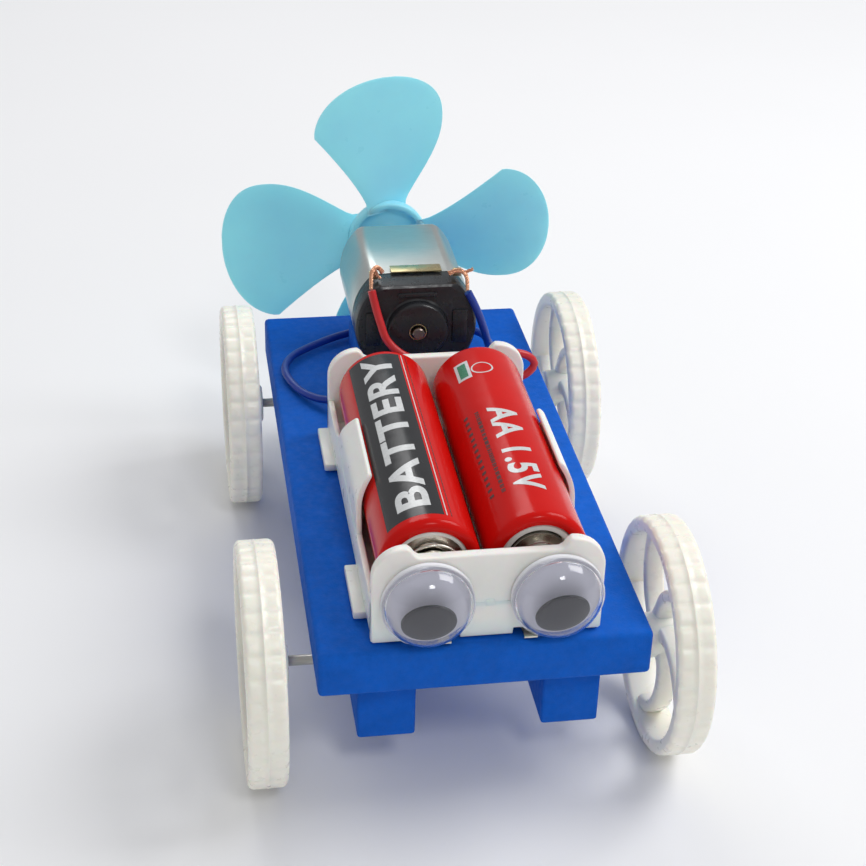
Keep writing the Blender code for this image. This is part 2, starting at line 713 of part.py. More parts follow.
def make_cell(side, positive_front):
    """One AA cell under its own empty: sleeve, steel can, seal ring and positive cap."""
    x = -CELL_X if side == "left" else CELL_X
    pivot = empty(f"battery_{side}", (x, CELL_FRONT + CELL_BODY / 2, CELL_AXIS_Z))
    # Local Z runs from the negative end to the positive one.
    turn = Matrix.Rotation(math.radians(90 if positive_front else -90), 4, "X")
    base = turn @ Matrix.Translation((0, 0, -CELL_BODY / 2))
    turned(f"battery_{side}_jacket", jacket_profile(), JACKET, pivot, base, 20, ring=True)
    can_r = CELL_RADIUS - JACKET_WALL - GAP - 0.0001
    neck = SEAL_INNER_RADIUS - GAP
    shoulder = 0.0011 + GAP
    can = [
        (0.0, CELL_BODY - 0.0012),
        (neck - 0.0010, CELL_BODY - 0.0012),
        (neck - 0.0010, CELL_BODY - 0.0024),
        (can_r, CELL_BODY - 0.0024),
        (can_r, shoulder),
        (SHOULDER_INNER_RADIUS - GAP, shoulder),
        (SHOULDER_INNER_RADIUS - GAP, 0.0001),
        (0.0, 0.0001),
    ]
    turned(f"battery_{side}_can", can, CELL_STEEL, pivot, base, 16)
    seal_low, seal_high = CELL_BODY - 0.0020, CELL_BODY - 0.0004
    seal = [
        (SEAL_OUTER_RADIUS, seal_high),
        (SEAL_OUTER_RADIUS, seal_low),
        (SEAL_INNER_RADIUS, seal_low),
        (SEAL_INNER_RADIUS, seal_high),
    ]
    turned(f"battery_{side}_seal", seal, SEAL, pivot, base, 16, ring=True)
    cap = [
        (0.0, CELL_BODY + NUB_LENGTH),
        (NUB_RADIUS - 0.0003, CELL_BODY + NUB_LENGTH),
        (NUB_RADIUS, CELL_BODY + NUB_LENGTH - 0.0003),
        (NUB_RADIUS, CELL_BODY - 0.0003),
        (neck, CELL_BODY - 0.0003),
        (neck, CELL_BODY - 0.0008),
        (0.0, CELL_BODY - 0.0008),
    ]
    turned(f"battery_{side}_cap", cap, CELL_STEEL, pivot, base, 16)


# ---------------------------------------------------------------- eyes


def dome_profile():
    """A thin clear bowl with a flat flange, its open side at height 0."""
    steps = 5
    outer, inner = [], []
    for i in range(steps + 1):
        t = math.pi / 2 * i / steps
        outer.append((DOME_RADIUS * math.sin(t), DOME_HEIGHT * math.cos(t)))
        radius, height = DOME_RADIUS - DOME_WALL, DOME_HEIGHT - DOME_WALL
        inner.append((radius * math.sin(t), height * math.cos(t)))
    outer[-1] = (DOME_RADIUS, FLANGE_THICKNESS)
    outer += [(EYE_RADIUS, FLANGE_THICKNESS), (EYE_RADIUS, 0.0)]
    return outer + inner[::-1]


def make_eye(side):
    toward_front = Matrix.Rotation(math.radians(90), 4, "X")
    back_y = HOLDER_FRONT - GAP
    x = EYE_X[side]
    back_profile = [(0.0, EYE_BACK), (EYE_RADIUS, EYE_BACK), (EYE_RADIUS, 0.0), (0.0, 0.0)]
    place = Matrix.Translation((x, back_y, EYE_Z)) @ toward_front
    turned(f"eye_{side}_back", back_profile, EYE_WHITE, CAR, place)
    dome_y = back_y - EYE_BACK - GAP
    place = Matrix.Translation((x, dome_y, EYE_Z)) @ toward_front
    turned(f"eye_{side}_dome", dome_profile(), EYE_CLEAR, CAR, place, 22)
    # The loose pupil hangs below the eye's centre and leans forward on the inside of the dome.
    pivot = empty(f"eye_{side}_pivot", (x, dome_y, EYE_Z), rotation=(0, PUPIL_ROLL[side], 0))
    half = PUPIL_THICKNESS / 2
    forward = PUPIL_RADIUS * math.sin(PUPIL_LEAN) + half
    lean = Matrix.Rotation(math.radians(90) + PUPIL_LEAN, 4, "X")
    place = Matrix.Translation((0, -forward, -PUPIL_DROP)) @ lean
    pupil_profile = [(0.0, half), (PUPIL_RADIUS, half), (PUPIL_RADIUS, -half), (0.0, -half)]
    turned(f"eye_{side}_pupil", pupil_profile, PUPIL_GREY, pivot, place)


# ---------------------------------------------------------------- motor


def can_outline(radius, flat_height, per_side=9):
    """A round section with two flats, the outline of a 130-size motor, in X and Z."""
    edge = math.asin(flat_height / radius)
    right = arc(radius, -edge, edge, per_side)
    left = arc(radius, math.pi - edge, math.pi + edge, per_side)
    return right + left


def plate_y(name, outlines, front, rear, surface=None, parent=CAR, z=MOTOR_Z):
    """A plate drawn in X and Z about the motor's axis, between two distances along Y."""
    place = upright(0, (front + rear) / 2, z)
    return flat(name, outlines, rear - front, surface, parent, place)


def make_motor_can():
    can = plate_y("motor_can", [can_outline(MOTOR_RADIUS, MOTOR_FLAT)], CAN_FRONT, CAN_REAR, CAN_STEEL)
    inner = can_outline(MOTOR_RADIUS - CAN_WALL, MOTOR_FLAT - CAN_WALL)
    cavity = plate_y("can_cavity", [inner], CAN_FRONT - 0.001, CAN_REAR - CAN_WALL)
    boss_start = (0, CAN_REAR - 0.0003, MOTOR_Z)
    boss = rod("can_boss", CAN_BOSS_RADIUS, boss_start, CAN_BOSS_LENGTH + 0.0003, steps=20)
    bore_start = (0, CAN_REAR - 0.0020, MOTOR_Z)
    bore = rod("can_bore", 0.0019 + GAP, bore_start, 0.0060, steps=20)
    join(can, boss)
    cut(can, cavity, bore)


def make_end_cap():
    plug_rear = CAN_FRONT - GAP
    cap = plate_y("motor_end_cap", [can_outline(MOTOR_RADIUS, MOTOR_FLAT)], MOTOR_CAP_FRONT, plug_rear, CAP_BLACK)
    boss_start = (0, MOTOR_CAP_FRONT - CAP_BOSS_LENGTH, MOTOR_Z)
    join(cap, rod("cap_boss", CAP_BOSS_RADIUS, boss_start, CAP_BOSS_LENGTH + 0.0003))
    pocket_start = (0, MOTOR_CAP_FRONT + 0.0016, MOTOR_Z)
    pocket = rod("cap_pocket", 0.0066, pocket_start, 0.01)
    bore_start = (0, MOTOR_CAP_FRONT - 0.01, MOTOR_Z)
    bore = rod("cap_bore", 0.0019 + GAP, bore_start, 0.02, steps=20)
    cut(cap, pocket, bore)
    low = (-0.0037, plug_rear - 0.0004, MOTOR_Z + MOTOR_FLAT + GAP)
    high = (0.0047, CAN_FRONT + 0.0018, MOTOR_Z + MOTOR_FLAT + GAP + 0.00025)
    box("end_cap_strip", low, high, BRASS)


def make_magnets():
    spread = math.radians(38)
    for name, facing in (("right", 0.0), ("left", math.pi)):
        outer = arc(MAGNET_OUTER_RADIUS, facing - spread, facing + spread, 9)
        inner = arc(MAGNET_INNER_RADIUS, facing + spread, facing - spread, 9)
        plate_y(f"magnet_{name}", [outer + inner], CORE_FRONT - 0.0010, CORE_REAR + 0.0016, MAGNET)


def make_bushes():
    inner = SHAFT_RADIUS + GAP
    front_start = (0, MOTOR_CAP_FRONT - CAP_BOSS_LENGTH + 0.0002, MOTOR_Z)
    tube("bush_front", inner, 0.0019, front_start, 0.0030, BRASS, steps=20)
    rear_start = (0, CAN_REAR - CAN_WALL, MOTOR_Z)
    tube("bush_rear", inner, 0.0019, rear_start, 0.0022, BRASS, steps=20)


def core_outline():
    """Three T-shaped poles about the shaft."""
    points = []
    arm_half, arm_top = 0.0009, 0.0049
    head = math.radians(46)
    root = 0.0022
    for k in range(3):
        turn = math.radians(90 + 120 * k)
        spin = Matrix.Rotation(turn, 2)
        head_inner = arm_top
        pole = [(root, -arm_half), (head_inner, -arm_half)]
        pole += arc(head_inner, -head, -head, 2)[:1]
        pole += arc(CORE_RADIUS, -head, head, 9)
        pole += arc(head_inner, head, head, 2)[:1]
        pole += [(head_inner, arm_half), (root, arm_half)]
        points += [tuple(spin @ Vector(p)) for p in pole]
    return points


def make_rotor():
    """Shaft, core, windings and commutator under an empty on the shaft's line."""
    pivot = empty("rotor", (0, 0, MOTOR_Z))
    rod("motor_shaft", SHAFT_RADIUS, (0, SHAFT_FRONT, 0), SHAFT_REAR - SHAFT_FRONT, STEEL, pivot, steps=16)
    bore = [arc(SHAFT_RADIUS + GAP, 2 * math.pi, 2 * math.pi / 17, 16)]
    plate_y("armature_core", [core_outline(), *bore], CORE_FRONT, CORE_REAR, CORE_STEEL, pivot, 0)
    arm_gap = 0.0009 + GAP
    for k in range(3):
        turn = Matrix.Rotation(math.radians(-90 - 120 * k), 4, "Y")
        frame_empty = empty(f"winding_{k + 1}_seat", (0, 0, 0), pivot, turn.to_euler())
        overhang = 0.0013
        low = (0.0026, CORE_FRONT - overhang, -arm_gap - 0.0009)
        high = (0.0037, CORE_REAR + overhang, arm_gap + 0.0009)
        coil = box(f"winding_{k + 1}", low, high, COPPER, frame_empty)
        hole_low = (0.0020, CORE_FRONT - GAP, -arm_gap)
        hole_high = (0.0060, CORE_REAR + GAP, arm_gap)
        cut(coil, box(f"winding_{k + 1}_hole", hole_low, hole_high, parent=frame_empty))
    tube("commutator", SHAFT_RADIUS + GAP, 0.0022, (0, 0.0735, 0), 0.0046, COPPER, pivot, steps=18)
    return pivot


def make_brushes():
    for name, side in (("left", -1), ("right", 1)):
        x = side * (0.0022 + GAP + 0.0003)
        low = (x - 0.0003, 0.0745, MOTOR_Z - 0.0030)
        high = (x + 0.0003, 0.0765, MOTOR_Z + 0.0030)
        box(f"brush_{name}", low, high, CARBON)


def make_terminals():
    """Bent brass tabs at the cap's upper corners, which the bare strands wrap round."""
    for name, side in (("left", -1), ("right", 1)):
        low = Vector((0.0062, 0.0716, MOTOR_Z + MOTOR_FLAT + GAP))
        high = Vector((0.0076, 0.0720, MOTOR_Z + MOTOR_FLAT + 0.0017))
        if side < 0:
            low.x, high.x = -high.x, -low.x
        box(f"terminal_{name}", low, high, BRASS)


# ---------------------------------------------------------------- propeller


def blade_edges(radius):
    """A blade's two edges at this radius, as distances from its middle line along the disc it sweeps."""
    full_radius, full, full_root = 0.0202, 0.0135, 0.0039
    flat_radius, flat_edge, flat_root = 0.0215, 0.0099, 0.0036
    along = min(1.0, (radius - BLADE_ROOT) / (full_radius - BLADE_ROOT))
    closing = max(0.0, (radius - full_radius) / (PROPELLER_RADIUS - full_radius))
    fuller = (full_root + (full - full_root) * along ** 1.25) * math.sqrt(1 - closing ** 2)
    along = min(1.0, (radius - BLADE_ROOT) / (flat_radius - BLADE_ROOT))
    closing = max(0.0, (radius - flat_radius) / (PROPELLER_RADIUS - flat_radius))
    rise = math.sin(math.pi / 2 * along ** 1.1)
    straighter = (flat_root + (flat_edge - flat_root) * rise) * math.sqrt(1 - closing ** 2.6)
    return fuller, straighter


def blade_mesh():
    """One twisted blade that points along local X, with the rotation axis along Y. Solidify gives its thickness."""
    rows, columns = 9, 4
    root_pitch, tip_pitch = math.radians(28), math.radians(12)
    bm = bmesh.new()
    bmesh.ops.create_grid(bm, x_segments=rows, y_segments=columns, size=0.5)
    for vertex in bm.verts:
        outward, across = vertex.co.x + 0.5, vertex.co.y + 0.5
        # Rows draw together toward the round tip, and stop just short of it to leave a narrow last edge.
        reach = 0.994 * (1 - (1 - outward) ** 1.35)
        radius = BLADE_ROOT + (PROPELLER_RADIUS - BLADE_ROOT) * reach
        fuller, straighter = blade_edges(radius)
        offset = (fuller + straighter) * across - straighter
        pitch = tip_pitch + (root_pitch - tip_pitch) * (1 - reach) ** 3
        vertex.co = (radius, -math.tan(pitch) * offset, offset)
    mesh = bpy.data.meshes.new("blade")
    bm.to_mesh(mesh)
    bm.free()
    return mesh


def make_propeller(pivot):
    cup_length = OVERALL_LENGTH / 2 - CAR.location.y - HUB_CUP_FRONT
    nose = []
    for i in range(7):
        t = math.radians(15 * i)
        nose.append((HUB_CUP_RADIUS * math.sin(t), cup_length - 0.0038 * (1 - math.cos(t))))
    inner_r = HUB_CUP_RADIUS - HUB_CUP_WALL
    socket_r, inner_depth = 0.0024, 0.0017
    socket_start = HUB_SOCKET_FRONT - HUB_CUP_FRONT
    profile = nose + [
        (HUB_CUP_RADIUS, 0.0),
        (inner_r, 0.0),
        (inner_r, inner_depth),
        (socket_r, inner_depth),
        (socket_r, socket_start),
        (0.0, socket_start),
    ]
    place = Matrix.Translation((0, HUB_CUP_FRONT, 0)) @ ALONG_Y
    propeller = turned("propeller", profile, PROPELLER_BLUE, pivot, place, steps=24)
    shared = blade_mesh()
    for k in range(BLADE_COUNT):
        turn = Matrix.Rotation(math.radians(-90 * k), 4, "Y")
        blade = add(f"blade_{k + 1}", shared, None, pivot, Matrix.Translation((0, PROPELLER_PLANE, 0)) @ turn)
        modifier = blade.modifiers.new("Solidify", "SOLIDIFY")
        modifier.thickness = BLADE_THICKNESS
        modifier.offset = 0.0
        join(propeller, blade)
    hole_start = (0, HUB_SOCKET_FRONT - 0.001, 0)
    hole_length = SHAFT_REAR + GAP - HUB_SOCKET_FRONT + 0.001
    cut(propeller, rod("shaft_hole", SHAFT_RADIUS + GAP, hole_start, hole_length, parent=pivot, steps=16))


# ---------------------------------------------------------------- leads


def make_leads():
    wire("blue_wire", smooth_route(BLUE_LEAD_ROUTE, WIRE_POINT_SPACING), WIRE_RADIUS, BLUE_INSULATION)
    wire("red_wire", smooth_route(RED_LEAD_ROUTE, WIRE_POINT_SPACING), WIRE_RADIUS, RED_INSULATION)
    wire("blue_wire_strands", smooth_route(BLUE_STRAND_ROUTE, 0.0007), STRAND_RADIUS, COPPER)
    wire("red_wire_strands", smooth_route(RED_STRAND_ROUTE, 0.0007), STRAND_RADIUS, COPPER)


# ---------------------------------------------------------------- assembly

make_board()
for end_name, block_axle_y in (("front", FRONT_AXLE_Y), ("rear", REAR_AXLE_Y)):
    make_axle_block(f"axle_block_{end_name}_left", -AXLE_BLOCK_X, block_axle_y)
    make_axle_block(f"axle_block_{end_name}_right", AXLE_BLOCK_X, block_axle_y)
shared_wheel = wheel_mesh()
make_wheelset("front", FRONT_AXLE_Y, FRONT_WHEEL_X, shared_wheel)
make_wheelset("rear", REAR_AXLE_Y, REAR_WHEEL_X, shared_wheel)
make_holder_tape()
make_holder()
make_contacts()
make_springs()
make_cell("left", positive_front=False)
make_cell("right", positive_front=True)
for eye_side in ("left", "right"):
    make_eye(eye_side)
make_motor_block()
make_motor_can()
make_end_cap()
make_magnets()
make_bushes()
make_brushes()
make_terminals()
make_propeller(make_rotor())
make_leads()
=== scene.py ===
"""Looks for the propeller car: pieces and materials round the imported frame, camera and lights."""

import math

import bmesh
import bpy
from mathutils import Matrix, Vector


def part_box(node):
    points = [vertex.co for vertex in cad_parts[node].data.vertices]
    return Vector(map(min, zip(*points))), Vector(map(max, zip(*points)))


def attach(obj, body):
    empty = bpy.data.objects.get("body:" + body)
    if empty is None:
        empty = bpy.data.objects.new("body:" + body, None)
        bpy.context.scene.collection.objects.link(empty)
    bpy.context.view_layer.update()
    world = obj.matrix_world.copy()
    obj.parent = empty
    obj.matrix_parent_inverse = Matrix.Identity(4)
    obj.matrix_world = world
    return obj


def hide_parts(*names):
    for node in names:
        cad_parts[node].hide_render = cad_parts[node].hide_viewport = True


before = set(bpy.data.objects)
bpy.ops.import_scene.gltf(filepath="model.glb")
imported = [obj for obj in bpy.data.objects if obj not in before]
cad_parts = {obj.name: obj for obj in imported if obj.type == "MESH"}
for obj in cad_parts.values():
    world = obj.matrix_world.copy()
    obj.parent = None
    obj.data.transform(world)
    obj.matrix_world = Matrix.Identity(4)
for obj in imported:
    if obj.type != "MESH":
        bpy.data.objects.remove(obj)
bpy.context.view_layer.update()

MM = 0.001
SCENE = bpy.context.scene

# ---------------------------------------------------------------- places read from the frame

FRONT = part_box("chassis_board")[0].y
MOTOR_Z = (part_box("motor_shaft")[0].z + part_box("motor_shaft")[1].z) / 2


def at(x, y, z):
    """A point in millimetres, its y measured back from the board's front edge."""
    return Vector((x * MM, FRONT + y * MM, z * MM))


# ---------------------------------------------------------------- materials


class Nodes:
    """Short-hand for building one material's node tree."""

    def __init__(self, name):
        self.material = bpy.data.materials.new(name)
        self.material.use_nodes = True
        self.tree = self.material.node_tree
        self.shader = self.tree.nodes["Principled BSDF"]
        self.coordinates = self.tree.nodes.new("ShaderNodeTexCoord").outputs["Object"]

    def link(self, source, target):
        self.tree.links.new(source, target)

    def add(self, kind, **values):
        node = self.tree.nodes.new(kind)
        for key, value in values.items():
            setattr(node, key, value)
        return node

    def noise(self, scale, detail=4.0, roughness=0.55, stretch=None):
        node = self.add("ShaderNodeTexNoise")
        node.inputs["Scale"].default_value = scale
        node.inputs["Detail"].default_value = detail
        node.inputs["Roughness"].default_value = roughness
        source = self.coordinates
        if stretch:
            mapping = self.add("ShaderNodeMapping")
            mapping.inputs["Scale"].default_value = stretch
            self.link(source, mapping.inputs["Vector"])
            source = mapping.outputs["Vector"]
        self.link(source, node.inputs["Vector"])
        return node.outputs["Fac"]

    def cells(self, scale, feature="F1"):
        node = self.add("ShaderNodeTexVoronoi", feature=feature)
        node.inputs["Scale"].default_value = scale
        self.link(self.coordinates, node.inputs["Vector"])
        return node.outputs["Distance"]

    def ramp(self, source, stops):
        node = self.add("ShaderNodeValToRGB")
        elements = node.color_ramp.elements
        while len(elements) < len(stops):
            elements.new(0.5)
        for element, (position, color) in zip(elements, stops):
            element.position = position
            element.color = (*color, 1.0)
        self.link(source, node.inputs["Fac"])
        return node.outputs["Color"]

    def span(self, source, low, high, start=0.3, end=0.7):
        node = self.add("ShaderNodeMapRange")
        node.inputs["From Min"].default_value = start
        node.inputs["From Max"].default_value = end
        node.inputs["To Min"].default_value = low
        node.inputs["To Max"].default_value = high
        self.link(source, node.inputs["Value"])
        return node.outputs["Result"]

    def bump(self, source, distance, strength=1.0, under=None):
        node = self.add("ShaderNodeBump")
        node.inputs["Strength"].default_value = strength
        node.inputs["Distance"].default_value = distance
        self.link(source, node.inputs["Height"])
        if under is not None:
            self.link(under, node.inputs["Normal"])
        return node.outputs["Normal"]

    def set(self, **values):
        for key, value in values.items():
            self.shader.inputs[key.replace("_", " ")].default_value = value


def shade(color, factor):
    return tuple(min(1.0, c * factor) for c in color)


def moulded(name, color, rough=(0.25, 0.4), grain=2600, depth=0.004, patch=180, spread=0.05, **values):
    """Moulded plastic: faint patches of colour and gloss, and a fine skin."""
    nodes = Nodes(name)
    patches = nodes.noise(patch, 5.0)
    nodes.link(
        nodes.ramp(patches, [(0.3, shade(color, 1 - spread)), (0.7, shade(color, 1 + spread))]),
        nodes.shader.inputs["Base Color"]
    )
    nodes.link(nodes.span(nodes.noise(patch * 3.1, 6.0), *rough), nodes.shader.inputs["Roughness"])
    skin = nodes.bump(nodes.noise(grain, 3.0), depth * MM)
    nodes.link(
        nodes.bump(nodes.noise(patch * 1.7, 2.0), depth * 6 * MM, 0.6, skin), nodes.shader.inputs["Normal"]
    )
    nodes.set(**values)
    return nodes.material


def metal(name, color, rough=(0.18, 0.32), stretch=(900, 900, 900), depth=0.003, spread=0.12, **values):
    """Bare metal with fine drawn or brushed lines and duller patches."""
    nodes = Nodes(name)
    lines = nodes.noise(1.0, 4.0, stretch=stretch)
    nodes.link(
        nodes.ramp(lines, [(0.25, shade(color, 1 - spread)), (0.75, shade(color, 1 + spread))]),
        nodes.shader.inputs["Base Color"]
    )
    nodes.link(nodes.span(nodes.noise(420, 5.0), *rough), nodes.shader.inputs["Roughness"])
    nodes.link(nodes.bump(lines, depth * MM), nodes.shader.inputs["Normal"])
    nodes.set(Metallic=1.0, **values)
    return nodes.material


def foam(name, color):
    """Closed-cell foam: a matt skin of tiny open cells, soft mottling, and a few larger pores."""
    nodes = Nodes(name)
    fine = nodes.cells(3300)
    mottled = nodes.noise(260, 6.0, 0.65)
    tint = nodes.ramp(mottled, [(0.25, shade(color, 0.84)), (0.55, color), (0.8, shade(color, 1.13))])
    cells = nodes.ramp(fine, [(0.0, (0.72, 0.74, 0.80)), (0.35, (1.0, 1.0, 1.0))])
    mix = nodes.add("ShaderNodeMix", data_type="RGBA", blend_type="MULTIPLY")
    mix.inputs["Factor"].default_value = 0.6
    nodes.link(tint, mix.inputs["A"])
    nodes.link(cells, mix.inputs["B"])
    nodes.link(mix.outputs["Result"], nodes.shader.inputs["Base Color"])
    nodes.link(nodes.span(nodes.noise(900, 4.0), 0.62, 0.86), nodes.shader.inputs["Roughness"])
    pores = nodes.bump(fine, 0.035 * MM, 0.7)
    nodes.link(nodes.bump(nodes.noise(700, 5.0), 0.06 * MM, 0.5, pores), nodes.shader.inputs["Normal"])
    nodes.set(Specular_IOR_Level=0.2)
    return nodes.material


BLUE_FOAM = foam("scene_foam", (0.001, 0.110, 0.560))
IVORY = moulded(
    "scene_wheel_plastic", (0.96, 0.93, 0.82), (0.24, 0.38), spread=0.02, Subsurface_Weight=0.2,
    Subsurface_Scale=0.001
)
HOLDER_WHITE = moulded(
    "scene_holder_plastic", (0.90, 0.885, 0.84), (0.26, 0.42), spread=0.03, Subsurface_Weight=0.3,
    Subsurface_Scale=0.0012
)
AXLE_STEEL = metal("scene_axle_steel", (0.50, 0.49, 0.47), (0.25, 0.42), (120, 5000, 5000))
SHAFT_STEEL = metal("scene_shaft_steel", (0.24, 0.19, 0.17), (0.25, 0.4), (5000, 120, 5000))
NICKEL = metal("scene_nickel", (0.66, 0.63, 0.56), (0.16, 0.34), (700, 700, 3000))
CELL_STEEL = metal("scene_cell_steel", (0.62, 0.60, 0.55), (0.10, 0.24), (800, 800, 800))
RED_SLEEVE = moulded(
    "scene_red_sleeve", (0.60, 0.006, 0.004), (0.12, 0.22), 1800, 0.002, 120, 0.06, Specular_IOR_Level=0.14
)
BLACK_BAND = moulded("scene_black_band", (0.016, 0.016, 0.018), (0.16, 0.28), 1800, 0.002, 120, 0.10)
WHITE_INK = moulded(
    "scene_white_ink", (0.66, 0.67, 0.67), (0.2, 0.34), 1800, 0.002, 300, 0.03, Coat_Weight=0.4,
    Coat_Roughness=0.1
)
DARK_INK = moulded(
    "scene_dark_ink", (0.06, 0.008, 0.008), (0.2, 0.34), 1800, 0.002, 300, 0.08, Coat_Weight=0.4,
    Coat_Roughness=0.1
)
GREEN_INK = moulded(
    "scene_green_ink", (0.015, 0.20, 0.09), (0.2, 0.34), 1800, 0.002, 300, 0.05, Coat_Weight=0.4,
    Coat_Roughness=0.1
)
SEAL_WHITE = moulded("scene_seal", (0.80, 0.79, 0.75), (0.4, 0.6), spread=0.05)
TAPE_WHITE = foam("scene_tape", (0.72, 0.72, 0.68))
EYE_CARD = moulded("scene_eye_card", (0.84, 0.84, 0.88), (0.35, 0.5), spread=0.02)
PUPIL = moulded("scene_pupil", (0.008, 0.010, 0.013), (0.5, 0.65), 3200, 0.006, 300, 0.08)
CAN_STEEL = metal("scene_can_steel", (0.60, 0.62, 0.60), (0.30, 0.38), (500, 3000, 500), 0.0015, 0.04)
CAP_BLACK = moulded("scene_cap_black", (0.014, 0.015, 0.018), (0.22, 0.4), 3000, 0.006, 300, 0.12)
BRASS = metal("scene_brass", (0.56, 0.47, 0.26), (0.22, 0.4), (900, 900, 900))
COPPER = metal("scene_copper", (0.78, 0.42, 0.27), (0.2, 0.36), (2500, 2500, 900))
FERRITE = moulded("scene_ferrite", (0.06, 0.06, 0.065), (0.55, 0.75), 1600, 0.012, 400, 0.15)
LAMINATION = metal("scene_lamination", (0.34, 0.34, 0.36), (0.3, 0.5), (300, 9000, 300), 0.01)
CARBON = moulded("scene_carbon", (0.03, 0.03, 0.03), (0.5, 0.7), 2000, 0.01, 400, 0.15)
RED_PVC = moulded("scene_red_pvc", (0.56, 0.016, 0.020), (0.28, 0.4), 2400, 0.003, 200, 0.06)
BLUE_PVC = moulded("scene_blue_pvc", (0.006, 0.035, 0.30), (0.28, 0.4), 2400, 0.003, 200, 0.06)


def propeller_plastic():
    """Thin pale-blue moulding that lets a little light through."""
    nodes = Nodes("scene_propeller_plastic")
    color = (0.34, 0.82, 1.0)
    flow = nodes.noise(70, 4.0, 0.5)
    nodes.link(
        nodes.ramp(flow, [(0.3, shade(color, 0.94)), (0.7, shade(color, 1.05))]),
        nodes.shader.inputs["Base Color"]
    )
    nodes.link(nodes.span(nodes.noise(300, 5.0), 0.26, 0.4), nodes.shader.inputs["Roughness"])
    skin = nodes.bump(nodes.noise(2600, 3.0), 0.004 * MM)
    nodes.link(nodes.bump(nodes.noise(120, 2.0), 0.03 * MM, 0.5, skin), nodes.shader.inputs["Normal"])
    nodes.set(
        Subsurface_Weight=0.4, Subsurface_Scale=0.0012, Subsurface_Radius=(0.5, 0.9, 1.0),
        Specular_IOR_Level=0.35
    )
    return nodes.material


def clear_plastic():
    """The eyes' thin clear domes, with faint handling marks in their gloss."""
    nodes = Nodes("scene_clear_plastic")
    nodes.link(nodes.span(nodes.noise(500, 5.0), 0.05, 0.12), nodes.shader.inputs["Roughness"])
    nodes.link(nodes.bump(nodes.noise(160, 2.0), 0.01 * MM, 0.4), nodes.shader.inputs["Normal"])
    nodes.set(
        Base_Color=(0.92, 0.92, 0.97, 1.0), Transmission_Weight=0.99, IOR=1.16, Coat_Weight=0.7,
        Coat_Roughness=0.06
    )
    return nodes.material


PROPELLER_BLUE = propeller_plastic()
CLEAR = clear_plastic()

# ---------------------------------------------------------------- mesh helpers


def piece(name, data, materials, body, replaces=()):
    """A finished piece that rides on a body and may stand for CAD nodes."""
    obj = bpy.data.objects.new(name, data)
    SCENE.collection.objects.link(obj)
    for material in materials if isinstance(materials, (list, tuple)) else [materials]:
        obj.data.materials.append(material)
    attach(obj, body)
    if replaces:
        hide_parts(*([replaces] if isinstance(replaces, str) else replaces))
    return obj


def to_mesh(bm, name, matrix=None, angle=35):
    if matrix is not None:
        bmesh.ops.transform(bm, matrix=matrix, verts=bm.verts)
    bmesh.ops.recalc_face_normals(bm, faces=bm.faces)
    mesh = bpy.data.meshes.new(name)
    bm.to_mesh(mesh)
    bm.free()
    mesh.shade_smooth()
    mesh.set_sharp_from_angle(angle=math.radians(angle))
    return mesh


def mm(profile):
    """A profile drawn in millimetres, given in metres."""
    return [(across * MM, along * MM) for across, along in profile]


def turned(bm, profile, segments, matrix=None, ring=False, angles=None, radius_at=None):
    """Turns (radius, height) points about Z into bm. Its ends lie on the axis unless it is a ring."""
    turns = angles or [2 * math.pi * i / segments for i in range(segments)]
    matrix = matrix or Matrix.Identity(4)
    rows = []
    for radius, height in profile:
        if radius < 1e-9:
            rows.append([bm.verts.new(matrix @ Vector((0, 0, height)))] * len(turns))
            continue
        row = []
        for turn in turns:
            r = radius_at(radius, height, turn) if radius_at else radius
            row.append(bm.verts.new(matrix @ Vector((r * math.cos(turn), r * math.sin(turn), height))))
        rows.append(row)
    pairs = list(zip(range(len(rows) - 1), range(1, len(rows))))
    if ring:
        pairs.append((len(rows) - 1, 0))
    for a, b in pairs:
        for i in range(len(turns)):
            j = (i + 1) % len(turns)
            corners = []
            for vertex in (rows[a][i], rows[a][j], rows[b][j], rows[b][i]):
                if vertex not in corners:
                    corners.append(vertex)
            if len(corners) > 2:
                bm.faces.new(corners)


def turned_mesh(name, profile, segments=64, matrix=None, ring=False, angle=35, **more):
    bm = bmesh.new()
    turned(bm, profile, segments, matrix, ring, **more)
    return to_mesh(bm, name, angle=angle)


def rounded_box(bm, low, high, bevel=0.0, segments=3):
    made = bmesh.ops.create_cube(bm, size=1.0)
    low, high = Vector(low), Vector(high)
    bmesh.ops.scale(bm, vec=high - low, verts=made["verts"])
    bmesh.ops.translate(bm, vec=(low + high) / 2, verts=made["verts"])
    if bevel:
        edges = list({e for v in made["verts"] for e in v.link_edges})
        bmesh.ops.bevel(bm, geom=edges, offset=bevel, segments=segments, profile=0.5, affect="EDGES")


def box_mesh(name, boxes, bevel, segments=3):
    bm = bmesh.new()
    for low, high in boxes:
        rounded_box(bm, low, high, bevel, segments)
    return to_mesh(bm, name)


def inset(outline, distance):
    """Moves an anticlockwise outline's points inward along their mitres."""
    moved, count = [], len(outline)
    for i in range(count):
        before, here, after = (Vector(outline[(i + k) % count]) for k in (-1, 0, 1))
        into, out = (here - before).normalized(), (after - here).normalized()
        normal_in, normal_out = Vector((-into.y, into.x)), Vector((-out.y, out.x))
        mitre = normal_in + normal_out
        moved.append(tuple(here + mitre * (distance / max(0.4, mitre.dot(normal_out)))))
    return moved


